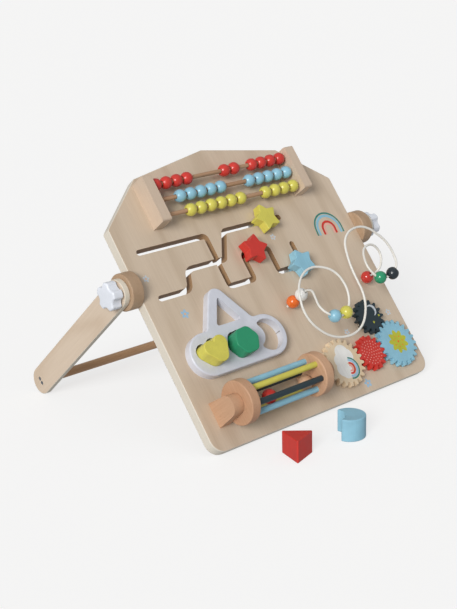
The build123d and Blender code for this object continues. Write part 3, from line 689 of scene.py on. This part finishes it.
# ---------------------------------------------------------------------------------------------
# Geometry helpers
# ---------------------------------------------------------------------------------------------
class Shapes:
    """Flat outlines in millimetres, each a closed loop of points."""

    @staticmethod
    def turns(count: int) -> list[float]:
        """Evenly spaced angles of a full turn."""
        return [2 * math.pi * k / count for k in range(count)]

    @staticmethod
    def on_circle(x: float, y: float, radius: float, angles: Iterable[float]) -> Loop:
        """Points of a circle at given angles."""
        return [(x + radius * math.cos(a), y + radius * math.sin(a)) for a in angles]

    @staticmethod
    def disc(x: float, y: float, radius: float, count: int) -> Loop:
        """Circle outline of a number of points."""
        return Shapes.on_circle(x, y, radius, Shapes.turns(count))

    @staticmethod
    def ring(radius: float, count: int, dot: float, centre: Point2 = (0.0, 0.0)) -> list[Loop]:
        """Dots set evenly on a circle.

        Args:
            radius: Radius of the circle.
            count: Number of dots.
            dot: Radius of each dot.
            centre: Middle of the circle.

        Returns:
            One outline for each dot.
        """
        return [Shapes.disc(x, y, dot, 12) for x, y in Shapes.disc(*centre, radius, count)]

    @staticmethod
    def band(x: float, y: float, inner: float, outer: float, count: int = 30) -> Loop:
        """Half ring with round ends, open downwards.

        Args:
            x: Middle, across.
            y: Middle, up.
            inner: Inner radius.
            outer: Outer radius.
            count: Steps of each arc.

        Returns:
            The outline.
        """
        angles = [math.pi * k / count for k in range(count + 1)]
        cap = [math.pi * k / 10 for k in range(1, 10)]
        middle, half = (inner + outer) / 2, (outer - inner) / 2
        loop = Shapes.on_circle(x, y, outer, angles)
        loop += Shapes.on_circle(x - middle, y, half, [math.pi + a for a in cap])
        loop += Shapes.on_circle(x, y, inner, reversed(angles))
        return loop + Shapes.on_circle(x + middle, y, half, [math.pi + a for a in cap])

    @staticmethod
    def arch(x: float, y: float, inner: float, outer: float, leg: float) -> Loop:
        """Half ring on two straight legs.

        Args:
            x: Middle, across.
            y: Middle of the ring, up.
            inner: Inner radius.
            outer: Outer radius.
            leg: Length of the legs.

        Returns:
            The outline.
        """
        angles = [math.pi * k / 30 for k in range(31)]
        over = Shapes.on_circle(x, y, outer, angles)
        under = Shapes.on_circle(x, y, inner, reversed(angles))
        foot = y - leg
        left, right = [(x - outer, foot), (x - inner, foot)], [(x + inner, foot)]
        return [(x + outer, foot), *over, *left, *under, *right]

    @staticmethod
    def cloud(puffs: Sequence[tuple[float, float, float]], count: int = 120) -> Loop:
        """One outline round overlapping discs.

        Args:
            puffs: Middle and radius of each disc; together they hold the origin.
            count: Points of the outline.

        Returns:
            The farthest reach of the discs in each direction from the origin.
        """
        loop = []
        for a in Shapes.turns(count):
            reach = 0.0
            for px, py, radius in puffs:
                along = px * math.cos(a) + py * math.sin(a)
                room = radius**2 - (px**2 + py**2 - along**2)
                if room > 0:
                    reach = max(reach, along + math.sqrt(room))
            loop.append((reach * math.cos(a), reach * math.sin(a)))
        return loop

    @staticmethod
    def rays(
        x: float, y: float, inner: float, outer: float, count: int, twist: float = 0.0
    ) -> Loop:
        """Sun or flower outline.

        Args:
            x: Middle, across.
            y: Middle, up.
            inner: Radius between the petals.
            outer: Radius at their tips.
            count: Number of petals.
            twist: Turn of the whole, in radians.

        Returns:
            The outline.
        """
        loop = []
        for a in Shapes.turns(count * 12):
            wave = 0.5 + 0.5 * math.cos(count * a)
            radius = inner + (outer - inner) * wave**0.7
            loop.append((x + radius * math.cos(a + twist), y + radius * math.sin(a + twist)))
        return loop

    @staticmethod
    def star(x: float, y: float, outer: float, inner: float, turn: float = 0.0) -> Loop:
        """Five-pointed star outline.

        Args:
            x: Middle, across.
            y: Middle, up.
            outer: Radius of the points.
            inner: Radius of the notches.
            turn: Turn of the whole, in radians.

        Returns:
            The outline.
        """
        loop = []
        for k in range(10):
            radius = outer if k % 2 == 0 else inner
            a = math.pi * k / 5 + turn
            loop.append((x + radius * math.cos(a), y + radius * math.sin(a)))
        return loop

    @staticmethod
    def moon(x: float, y: float, radius: float, bite: float, shift: float, turn: float) -> Loop:
        """Crescent outline.

        Args:
            x: Middle of its disc, across.
            y: Middle of its disc, up.
            radius: Radius of the disc.
            bite: Radius of the disc cut out of it.
            shift: How far the cut lies from the middle.
            turn: Direction in which it is open, in radians.

        Returns:
            The outline.
        """
        apart = (radius**2 - bite**2 + shift**2) / (2 * shift)
        half = math.acos(max(-1.0, min(1.0, apart / radius)))
        bite_half = math.pi - math.acos(max(-1.0, min(1.0, (shift - apart) / bite)))
        outer = [half + (2 * math.pi - 2 * half) * k / 36 for k in range(37)]
        sweep = 2 * math.pi - 2 * bite_half
        inner = [2 * math.pi - bite_half - sweep * k / 24 for k in range(1, 24)]
        loop = Shapes.on_circle(0.0, 0.0, radius, outer)
        loop += Shapes.on_circle(shift, 0.0, bite, inner)
        cos, sin = math.cos(turn), math.sin(turn)
        return [(x + px * cos - py * sin, y + px * sin + py * cos) for px, py in loop]

    @staticmethod
    def turned(loop: Loop, centre: Point2, degrees: float) -> Loop:
        """Turn an outline about a point.

        Args:
            loop: The outline.
            centre: The point.
            degrees: Angle, anticlockwise.

        Returns:
            The turned outline.
        """
        cos, sin = math.cos(math.radians(degrees)), math.sin(math.radians(degrees))
        from_centre = [(px - centre[0], py - centre[1]) for px, py in loop]
        return [
            (centre[0] + dx * cos - dy * sin, centre[1] + dx * sin + dy * cos)
            for dx, dy in from_centre
        ]


INK_FILM_MM = 0.05  # thickness of a layer of ink
INK_ROOT_MM = 0.02  # how far it reaches into the surface that carries it
OVERPRINT_MM = 0.06  # level of a print that lies on another one on the panel


def place_object(name: str, data: bpy.types.ID) -> bpy.types.Object:
    """Put an object into the scene and report it.

    Args:
        name: Name of the object.
        data: Its mesh, curve, light or camera.

    Returns:
        The object.
    """
    made = bpy.data.objects.new(name, data)
    bpy.context.scene.collection.objects.link(made)
    LOG.info("made %s", name)
    return made


@dataclass
class MeshMaker:
    """Collects geometry for one piece and turns it into a linked object."""

    name: str
    finish: Finish
    mesh: bmesh.types.BMesh = field(default_factory=bmesh.new)

    def print_loop(self, loop: Loop, level_mm: float) -> None:
        """Add a thin printed patch on a plane parallel to the panel.

        Args:
            loop: Outline in the panel's x and y, in millimetres.
            level_mm: Height of the surface that carries the print.
        """
        root, top = level_mm - INK_ROOT_MM, level_mm + INK_FILM_MM
        lower = [self.mesh.verts.new(PANEL.at(x, y, root)) for x, y in loop]
        upper = [self.mesh.verts.new(PANEL.at(x, y, top)) for x, y in loop]
        self.mesh.faces.new(upper)
        self.mesh.faces.new(list(reversed(lower)))
        for k in range(len(loop)):
            after = (k + 1) % len(loop)
            self.mesh.faces.new((lower[k], lower[after], upper[after], upper[k]))

    def lathe(self, profile: Sequence[Point2], place: Matrix, segments: int = 40) -> None:
        """Add a closed turned solid.

        Args:
            profile: Closed loop of (radius, height) points in millimetres.
            place: Transform whose Z is the turning axis, in metres.
            segments: Steps round the axis.
        """
        rings = []
        for angle in Shapes.turns(segments):
            cos, sin = math.cos(angle), math.sin(angle)
            points = [Vector((r * cos, r * sin, h)) * MM for r, h in profile]
            rings.append([self.mesh.verts.new(place @ point) for point in points])
        count = len(profile)
        for k, ring in enumerate(rings):
            beside = rings[(k + 1) % segments]
            for i in range(count):
                after = (i + 1) % count
                self.mesh.faces.new((ring[i], beside[i], beside[after], ring[after]))

    def build(self, body: str, *nodes: str, smooth: bool = False) -> bpy.types.Object:
        """Finish the piece and set it on its body.

        Args:
            body: CAD body that the piece rides on.
            *nodes: CAD nodes that it stands for.
            smooth: Whether its faces are shaded smooth.

        Returns:
            The new object.
        """
        bmesh.ops.recalc_face_normals(self.mesh, faces=self.mesh.faces)
        data = bpy.data.meshes.new(self.name)
        self.mesh.to_mesh(data)
        self.mesh.free()
        for polygon in data.polygons:
            polygon.use_smooth = smooth
        data.materials.append(self.finish.material())
        made = place_object(self.name, data)
        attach(made, body)
        if nodes:
            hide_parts(*nodes)
        return made


@dataclass(frozen=True)
class BeadShape:
    """Profile of a turned bead, in millimetres."""

    radius: float
    bore: float
    mouth: float

    def profile(self) -> list[Point2]:
        """Closed loop of (radius, height) points round the bead's section.

        Returns:
            The outside from mouth to mouth, then the bore.
        """
        rim = self.bore + self.mouth
        reach = math.asin(rim / self.radius)
        steps = 22
        outside = []
        for k in range(steps + 1):
            a = reach + (math.pi - 2 * reach) * k / steps
            outside.append((self.radius * math.sin(a), self.radius * math.cos(a)))
        top, bottom = outside[0][1], outside[-1][1]
        deep, wide = self.mouth * 0.8, self.bore + self.mouth * 0.3
        soft = [(wide, bottom + 0.15), (self.bore, bottom + deep)]
        back = [(self.bore, top - deep), (wide, top - 0.15)]
        return outside + soft + back


def plane_along(place: Vector, direction: Vector) -> Matrix:
    """Transform whose Z follows a direction.

    Args:
        place: Origin in metres.
        direction: Any non-zero vector.

    Returns:
        The 4x4 matrix.
    """
    return Matrix.Translation(place) @ direction.to_track_quat("Z", "Y").to_matrix().to_4x4()


# ---------------------------------------------------------------------------------------------
# Sub-assemblies
# ---------------------------------------------------------------------------------------------
@dataclass
class SubAssembly(ABC):
    """A group of pieces that belong together on the real object."""

    frame: dict[str, Any]

    @abstractmethod
    def finishes(self) -> dict[str, Finish]:
        """Finish of each CAD node that stays in view."""

    def pieces(self) -> None:
        """Make the pieces that the CAD doesn't hold or that replace its nodes."""

    def dress(self) -> None:
        """Give the CAD nodes their finishes and add the pieces."""
        for node, finish in self.finishes().items():
            data = self.frame["nodes"][node].data
            data.materials.clear()
            data.materials.append(finish.material())
            LOG.info("dressed %s in %s", node, finish.name)
        self.pieces()
        LOG.info("%s is done", type(self).__name__)


Bow = tuple[float, float, Tint]  # inner radius, outer radius and ink
SIDES = ("left", "right")


@dataclass
class PlayPanel(SubAssembly):
    """The plywood panel with its screws and prints."""

    blue_flowers: tuple[Point2, ...] = ((-149.0, 178.0), (79.5, 12.6))
    pale_flowers: tuple[Point2, ...] = ((-180.0, 235.5), (178.2, 94.8), (88.4, 87.6), (46.0, 245.5))
    rainbow: Point2 = (151.0, 236.0)
    rainbow_turn: float = -4.0
    rainbow_leg: float = 8.0
    rainbow_bows: tuple[Bow, ...] = (
        (23.4, 26.0, Tint.TEAL), (18.4, 22.4, Tint.BLUE), (9.4, 13.0, Tint.RED),
        (6.4, 8.4, Tint.PINK),
    )

    def finishes(self) -> dict[str, Finish]:
        """Finish of the sheet and of the screws in its back."""
        return {"board": PLY_FACE, "rear_screws": ZINC}

    def pieces(self) -> None:
        """Print the rainbow and the flowers."""
        for inner, outer, tint in self.rainbow_bows:
            maker = MeshMaker(f"print_bow_{tint.name.lower()}", paint(tint, 0.5))
            arch = Shapes.arch(*self.rainbow, inner, outer, self.rainbow_leg)
            maker.print_loop(Shapes.turned(arch, self.rainbow, self.rainbow_turn), 0.0)
            maker.build("panel")
        self._flowers("print_blue_flowers", Tint.SKY, self.blue_flowers, 6.4)
        self._flowers("print_pale_flowers", Tint.MIST, self.pale_flowers, 5.0)

    @staticmethod
    def _flowers(name: str, tint: Tint, places: Sequence[Point2], reach: float) -> None:
        """Print a scatter of small five-petalled flowers of one colour.

        Args:
            name: Name of the piece.
            tint: Colour of the petals.
            places: Middles on the panel, in millimetres.
            reach: Radius to the tips of the petals, in millimetres.
        """
        petals = MeshMaker(name, paint(tint, 0.55))
        hearts = MeshMaker(f"{name}_hearts", paint(Tint.PEACH, 0.55))
        for k, (x, y) in enumerate(places):
            petals.print_loop(Shapes.rays(x, y, reach * 0.52, reach, 5, twist=0.4 * k), 0.0)
            hearts.print_loop(Shapes.disc(x, y, reach * 0.26, 20), OVERPRINT_MM)
        petals.build("panel")
        hearts.build("panel")


@dataclass
class CountingFrame(SubAssembly):
    """Two blocks, three rods and their coloured beads.

    A cluster's values are its row, the place of its first bead across, and its count of beads.
    """

    bead: BeadShape = BeadShape(8.6, 3.3, 0.8)
    pitch: float = 17.55
    lift: float = 13.9
    rows: tuple[float, ...] = (306.0, 328.0, 350.0)
    clusters: dict[str, tuple[int, float, int]] = field(default_factory=lambda: {
        "red_left": (2, -111.0, 4),
        "red_middle": (2, 8.0, 2),
        "red_right": (2, 58.4, 4),
        "blue_left": (1, -82.0, 5),
        "blue_right": (1, 40.8, 5),
        "yellow_left": (0, -76.0, 6),
        "yellow_right": (0, 58.3, 4),
    })

    def finishes(self) -> dict[str, Finish]:
        """Finish of the end blocks and the rods."""
        blocks = {f"abacus_block_{side}": BLOCK_WOOD for side in SIDES}
        return blocks | {"abacus_rods": ROD_WOOD}

    def pieces(self) -> None:
        """Turn the beads of each cluster."""
        for name, (row, first, count) in self.clusters.items():
            tint = Tint[name.split("_")[0].upper()]
            maker = MeshMaker(f"beads_{name}", paint(tint, 0.30, Grain.ACROSS, 0.25))
            for k in range(count):
                place = PANEL.at(first + self.pitch * k, self.rows[row], self.lift)
                maker.lathe(self.bead.profile(), plane_along(place, Vector((1, 0, 0))))
            node = f"abacus_beads_{name}"
            maker.build(node, node, smooth=True)


@dataclass
class StarMaze(SubAssembly):
    """Three stars in the panel's slots."""

    def finishes(self) -> dict[str, Finish]:
        """Finish of the stars and of the glides behind them.

        Returns:
            Finishes by node.
        """
        tints = {"yellow": Tint.YELLOW, "red": Tint.RED, "blue": Tint.BLUE}
        stars = {f"star_{name}": paint(tint, 0.44) for name, tint in tints.items()}
        return stars | {f"star_glide_{name}": GLIDE_PLASTIC for name in tints}


@dataclass
class ShapeSorter(SubAssembly):
    """The white windowed plate and its four shape blocks."""

    def finishes(self) -> dict[str, Finish]:
        """Finish of the plate and of the blocks.

        Returns:
            Finishes by node.
        """
        return {
            "sorter_plate": WHITE_LACQUER,
            "block_yellow_heart": paint(Tint.YELLOW, 0.46, Grain.OUT_OF_PANEL),
            "block_green_hexagon": paint(Tint.GREEN, 0.44, Grain.OUT_OF_PANEL),
            "block_red_triangle": paint(Tint.RED, 0.46, Grain.UPRIGHT),
            "block_blue_crescent": paint(Tint.BLUE, 0.46, Grain.UPRIGHT),
        }


@dataclass
class RattleDrum(SubAssembly):
    """The turning cage of rods with its two balls."""

    def finishes(self) -> dict[str, Finish]:
        """Finish of the rods, the discs, the brackets, the balls and the pins.

        Returns:
            Finishes by node.
        """
        tints = {"blue": Tint.BLUE, "yellow": Tint.YELLOW, "navy": Tint.NAVY}
        rods = {
            f"drum_rods_{name}": paint(tint, 0.40, Grain.ACROSS) for name, tint in tints.items()
        }
        woods = {
            "drum_bracket_left": BEECH[Grain.OUT_OF_PANEL],
            "drum_bracket_right": BEECH[Grain.OUT_OF_PANEL],
            "drum_disc_left": BEECH[Grain.UP_PANEL],
            "drum_disc_right": BEECH[Grain.UP_PANEL],
            "drum_ball_red": paint(Tint.RED, 0.34, Grain.ACROSS),
            "drum_ball_natural": BEECH[Grain.ACROSS],
        }
        return rods | woods | {"drum_axle_pins": ZINC}


@dataclass
class GearTrain(SubAssembly):
    """Four printed gears in mesh."""

    face: float = 8.8
    row: float = 48.5
    apart: float = 54.0
    driver: float = 158.0
    navy_bearing: float = math.radians(117.3)
    sun_centre: Point2 = (2.0, 1.0)
    seed_ring: tuple[float, int] = (8.0, 7)
    dot: float = 0.75
    dot_rings: tuple[tuple[float, int], ...] = ((4.4, 6), (8.4, 11), (12.4, 16), (16.4, 21))
    moon_centre: Point2 = (7.8, 6.8)
    small_stars: tuple[tuple[Point2, float], ...] = (((16.2, -3.1), 0.4), ((1.6, -10.1), 1.0))
    bow_centre: Point2 = (4.8, -9.8)
    bow_turn: float = -106.0
    bows: tuple[Bow, ...] = (
        (13.4, 15.6, Tint.TEAL), (9.6, 12.9, Tint.SKY), (5.9, 8.7, Tint.RED),
        (2.6, 5.0, Tint.PINK),
    )
    puffs: tuple[tuple[float, float, float], ...] = (
        (3.0, 13.5, 11.5), (9.0, 7.0, 10.5), (-5.5, 3.5, 10.5), (-7.5, -8.0, 10.5),
        (-3.0, -12.0, 10.5),
    )

    @property
    def places(self) -> dict[str, Point2]:
        """Middle of each gear on the panel.

        Returns:
            Points in millimetres by gear.
        """
        across = self.driver + self.apart * math.cos(self.navy_bearing)
        return {
            "blue": (self.driver, self.row),
            "red": (self.driver - self.apart, self.row),
            "natural": (self.driver - 2 * self.apart, self.row),
            "navy": (across, self.row + self.apart * math.sin(self.navy_bearing)),
        }

    def finishes(self) -> dict[str, Finish]:
        """Finish of the gears and their pins.

        Returns:
            Finishes by node.
        """
        tints = {"blue": Tint.BLUE, "red": Tint.RED, "navy": Tint.NAVY}
        gears = {f"gear_{name}": paint(tint, 0.42) for name, tint in tints.items()}
        pins = {f"gear_axle_{name}": PALE_WOOD for name in self.places}
        return gears | {"gear_natural": PALE_WOOD} | pins

    def _print(
        self, name: str, gear: str, tint: Tint, loops: Sequence[Loop], layer: int = 0
    ) -> None:
        """Print outlines on a gear's face.

        Args:
            name: Name of the piece.
            gear: Which gear.
            tint: Colour of the ink.
            loops: Outlines about the gear's middle.
            layer: How many layers of ink lie under this one.
        """
        x, y = self.places[gear]
        maker = MeshMaker(name, paint(tint, 0.5))
        for loop in loops:
            outline = [(x + px, y + py) for px, py in loop]
            maker.print_loop(outline, self.face + INK_FILM_MM * layer)
        maker.build(f"gear_{gear}")

    def pieces(self) -> None:
        """Print sun, dots, moon with stars, and cloud with rainbow."""
        sun = self.sun_centre
        rays = Shapes.rays(*sun, inner=12.4, outer=17.4, count=9, twist=0.2)
        self._print("print_sun", "blue", Tint.LIME, [rays])
        seeds = [*Shapes.ring(*self.seed_ring, 1.0, sun), Shapes.disc(*sun, 1.6, 16)]
        self._print("print_sun_seeds", "blue", Tint.ORANGE, seeds, 1)

        dots = [Shapes.disc(0.0, 0.0, self.dot, 12)]
        for radius, count in self.dot_rings:
            dots += Shapes.ring(radius, count, self.dot)
        self._print("print_dots", "red", Tint.PINK, dots)

        moon = Shapes.moon(*self.moon_centre, radius=8.4, bite=7.6, shift=3.2, turn=-2.75)
        self._print("print_moon", "navy", Tint.MIST, [moon])
        stars = [Shapes.star(*place, 2.4, 1.1, turn) for place, turn in self.small_stars]
        self._print("print_small_stars", "navy", Tint.LIME, stars)

        self._print("print_cloud", "natural", Tint.WHITE, [Shapes.cloud(self.puffs)])
        for inner, outer, tint in self.bows:
            bow = Shapes.band(*self.bow_centre, inner, outer)
            bow = Shapes.turned(bow, self.bow_centre, self.bow_turn)
            self._print(f"print_small_bow_{tint.name.lower()}", "natural", tint, [bow], 1)


@dataclass(frozen=True)
class Bend:
    """A corner of the wire's route and its rounding, in millimetres."""

    x: float
    y: float
    z: float
    radius: float = 0.0

    @property
    def place(self) -> Vector:
        """The corner in the panel's frame, in millimetres."""
        return Vector((self.x, self.y, self.z))


WIRE_ROUTE = (
    Bend(12.0, 147.0, 0.0), Bend(29.5, 153.5, 38.0, 9.5), Bend(17.5, 114.0, 46.5, 23.5),
    Bend(46.0, 94.5, 53.5, 18.0), Bend(66.5, 122.0, 60.5, 38.5), Bend(59.5, 159.0, 64.5, 35.0),
    Bend(23.5, 177.0, 59.0, 34.0), Bend(-10.0, 157.0, 58.0, 38.0), Bend(-16.0, 112.5, 49.0, 49.5),
    Bend(15.0, 75.5, 45.5, 54.0), Bend(62.5, 71.0, 51.5, 41.5), Bend(91.0, 107.0, 58.5, 57.5),
    Bend(87.0, 163.0, 64.0, 125.5), Bend(96.0, 201.5, 70.0, 28.0), Bend(135.5, 207.0, 74.5, 36.5),
    Bend(169.0, 172.0, 70.5, 59.5), Bend(176.0, 132.6, 58.2, 18.5), Bend(150.5, 132.5, 41.5, 17.5),
    Bend(139.0, 155.0, 40.5, 30.5), Bend(147.0, 183.0, 41.0, 18.5), Bend(171.5, 187.0, 40.5, 19.0),
    Bend(186.0, 169.5, 34.0, 14.5), Bend(170.5, 148.0, 31.0, 15.5), Bend(161.0, 150.5, 0.0),
)


@dataclass
class BeadMaze(SubAssembly):
    """The bent steel wire and the beads threaded on it.

    Lengths are in millimetres. low_left and low_right are the middles of the two low bends that
    hold a pair of beads each, as distances along the wire.
    """

    wire_radius: float = 1.6
    socket: float = 9.5
    bead: BeadShape = BeadShape(8.75, 3.4, 1.2)
    low_left: float = 103.2
    low_right: float = 655.0
    bend_pitch: float = 18.6
    foot_gap: float = 0.35
    drawn_step: float = 2.0
    seating_step: float = 0.5

    def finishes(self) -> dict[str, Finish]:
        """No node of the CAD stays in view here."""
        return {}

    @staticmethod
    def centre_line(step: float) -> list[Vector]:
        """Points along the bent wire's middle.

        Args:
            step: Largest turn between two points of a bend, in degrees.

        Returns:
            Points in the panel's frame, in millimetres, from foot to foot.
        """
        places = [bend.place for bend in WIRE_ROUTE]
        line = [places[0]]
        for before, bend, after in zip(places, WIRE_ROUTE[1:], places[2:]):
            incoming = (bend.place - before).normalized()
            outgoing = (after - bend.place).normalized()
            turn = incoming.angle(outgoing)
            inward = (outgoing - incoming).normalized()
            centre = bend.place + inward * (bend.radius / math.cos(turn / 2))
            across, rise = -inward, (outgoing + incoming).normalized()
            steps = max(4, math.ceil(math.degrees(turn) / step))
            for k in range(steps + 1):
                angle = turn * (k / steps - 0.5)
                spoke = across * math.cos(angle) + rise * math.sin(angle)
                line.append(centre + spoke * bend.radius)
        return [*line, places[-1]]

    @staticmethod
    def seat(line: list[Vector], way: float) -> Matrix:
        """Transform of a bead at a distance along the wire.

        Args:
            line: Points from centre_line().
            way: Distance from the left foot, in millimetres.

        Returns:
            Row-frame matrix whose Z follows the wire.
        """
        for here, there in zip(line, line[1:]):
            step = (there - here).length
            if way <= step:
                break
            way -= step
        along = (there - here).normalized()
        direction = PANEL.matrix.to_3x3() @ along
        return plane_along(PANEL.at(*(here + along * way)), direction)

    def ways(self, line: list[Vector]) -> dict[str, float]:
        """Distance of each bead from the wire's left foot, along the wire.

        Args:
            line: Points from centre_line().

        Returns:
            Distances in millimetres by colour.
        """
        length = sum((b - a).length for a, b in zip(line, line[1:]))
        rise_left = (line[1] - line[0]).normalized().z
        rise_right = (line[-2] - line[-1]).normalized().z
        seat = self.bead.radius + self.foot_gap
        lowest = seat / rise_left
        mouth_radius = self.bead.bore + self.bead.mouth
        bead_length = 2 * math.sqrt(self.bead.radius**2 - mouth_radius**2)
        return {
            "orange": lowest,
            "white": lowest + bead_length + self.foot_gap,
            "blue": self.low_left - self.bend_pitch / 2,
            "yellow": self.low_left + self.bend_pitch / 2,
            "black": self.low_right - self.bend_pitch / 2,
            "green": self.low_right + self.bend_pitch / 2,
            "red": length - seat / rise_right,
        }

    def _wire(self) -> None:
        """Draw the wire, with its ends set into the panel."""
        line = self.centre_line(self.drawn_step)
        first = line[0] - (line[1] - line[0]).normalized() * self.socket
        last = line[-1] - (line[-2] - line[-1]).normalized() * self.socket
        data = bpy.data.curves.new("bent_wire", "CURVE")
        data.dimensions = "3D"
        spline = data.splines.new("POLY")
        points = [first, *line, last]
        spline.points.add(len(points) - 1)
        for target, point in zip(spline.points, points):
            target.co = (*PANEL.at(*point), 1.0)
        data.bevel_depth = self.wire_radius * MM
        data.bevel_resolution = 5
        data.use_fill_caps = True
        data.materials.append(POWDER_COAT.material())
        wire = place_object("bent_wire", data)
        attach(wire, "panel")
        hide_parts("maze_wire")

    def pieces(self) -> None:
        """Draw the wire and turn the beads on it."""
        self._wire()
        line = self.centre_line(self.seating_step)
        for name, way in self.ways(line).items():
            finish = paint(Tint[name.upper()], 0.26, Grain.ACROSS, 0.35)
            maker = MeshMaker(f"bead_{name}", finish)
            maker.lathe(self.bead.profile(), self.seat(line, way), 48)
            maker.build(f"maze_bead_{name}", f"maze_bead_{name}", smooth=True)


@dataclass
class LegFrame(SubAssembly):
    """Hubs, legs, crossbar and clamping knobs."""

    def finishes(self) -> dict[str, Finish]:
        """Finish of the wood, the plastic and the metal of the leg frame.

        Returns:
            Finishes by node.
        """
        pairs = {"hub": HUB_WOOD, "leg": PLY_LEG, "knob": KNOB_PLASTIC}
        both = {f"{part}_{side}": finish for part, finish in pairs.items() for side in SIDES}
        metal = {"leg_screws": ZINC, "leg_washers": ZINC, "hub_inserts": BRASS}
        return both | metal | {"hub_dowels": PALE_WOOD, "crossbar": CROSSBAR}


# ---------------------------------------------------------------------------------------------
# Studio
# ---------------------------------------------------------------------------------------------
@dataclass(frozen=True)
class Lamp:
    """A broad lamp far away, so that its light is even over the whole object."""

    name: str
    towards: Point3
    strength: float
    spread: float
    colour: Colour = (1.0, 1.0, 1.0)

    def hang(self) -> None:
        """Create the lamp in the scene."""
        data = bpy.data.lights.new(self.name, "SUN")
        data.energy = self.strength
        data.angle = math.radians(self.spread)
        data.color = self.colour
        lamp = place_object(self.name, data)
        lamp.rotation_euler = (-Vector(self.towards)).to_track_quat("-Z", "Y").to_euler()


WARM_LIGHT: Colour = (1.0, 0.985, 0.96)


@dataclass(frozen=True)
class Studio:
    """Floor, lamps, surroundings and camera.

    The camera's eye (millimetres) and axes are given in the panel's frame.
    """

    focal_px: float = 1222.08
    frame_px: tuple[int, int] = (457, 609)
    eye: Point3 = (-1072.81, -131.18, 1174.05)
    right: Point3 = (0.73914, -0.43670, 0.51280)
    down: Point3 = (-0.22737, -0.87842, -0.42033)
    ahead: Point3 = (0.63401, 0.19408, -0.74857)
    sensor_mm: float = 36.0
    sky_strength: float = 0.355
    paper: PaperFinish = PaperFinish("floor_paper", 1.0, glow=0.695)
    floor_half: float = 30.0
    floor_drop: float = 0.0004
    lamps: tuple[Lamp, ...] = (
        Lamp("key_left", (-0.80, -0.42, 0.42), 2.35, 24.0, WARM_LIGHT),
        Lamp("fill_top", (0.10, -0.30, 0.95), 0.12, 60.0),
    )

    def set_up(self) -> None:
        """Make everything round the object."""
        self._floor()
        self._surroundings()
        for lamp in self.lamps:
            lamp.hang()
        self._camera()

    def _floor(self) -> None:
        """Lay a plain sheet of paper that throws no light back on the object."""
        mesh = bmesh.new()
        bmesh.ops.create_grid(mesh, x_segments=1, y_segments=1, size=self.floor_half)
        data = bpy.data.meshes.new("floor")
        mesh.to_mesh(data)
        mesh.free()
        data.materials.append(self.paper.material())
        floor = place_object("floor", data)
        floor.location.z = -self.floor_drop
        floor.visible_diffuse = False
        floor.visible_glossy = False

    def _surroundings(self) -> None:
        """Light the room evenly from all round."""
        world = bpy.data.worlds.new("soft_room")
        world.use_nodes = True
        sky = world.node_tree.nodes["Background"]
        sky.inputs["Color"].default_value = (1.0, 1.0, 1.0, 1.0)
        sky.inputs["Strength"].default_value = self.sky_strength
        bpy.context.scene.world = world
        bpy.context.scene.view_settings.view_transform = "Standard"

    def _camera(self) -> None:
        """Set up the camera from its axes in the panel's frame."""
        turn = PANEL.matrix.to_3x3()
        axes = (self.right, self.down, self.ahead)
        right, down, ahead = (turn @ Vector(axis) for axis in axes)
        rotation = Matrix((right, -down, -ahead)).transposed().to_4x4()
        data = bpy.data.cameras.new("camera")
        data.sensor_width = self.sensor_mm
        data.lens = self.focal_px / max(self.frame_px) * data.sensor_width
        camera = place_object("camera", data)
        camera.matrix_world = Matrix.Translation(PANEL.at(*self.eye)) @ rotation
        bpy.context.scene.camera = camera


def main() -> None:
    """Load the frame, dress every sub-assembly and set up the studio."""
    logging.basicConfig(level=logging.INFO, format="%(name)s: %(message)s")
    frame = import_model()
    kinds = (
        PlayPanel, CountingFrame, StarMaze, ShapeSorter, RattleDrum, GearTrain, BeadMaze, LegFrame,
    )
    for kind in kinds:
        kind(frame).dress()
    Studio().set_up()


if __name__ == "__main__":
    main()
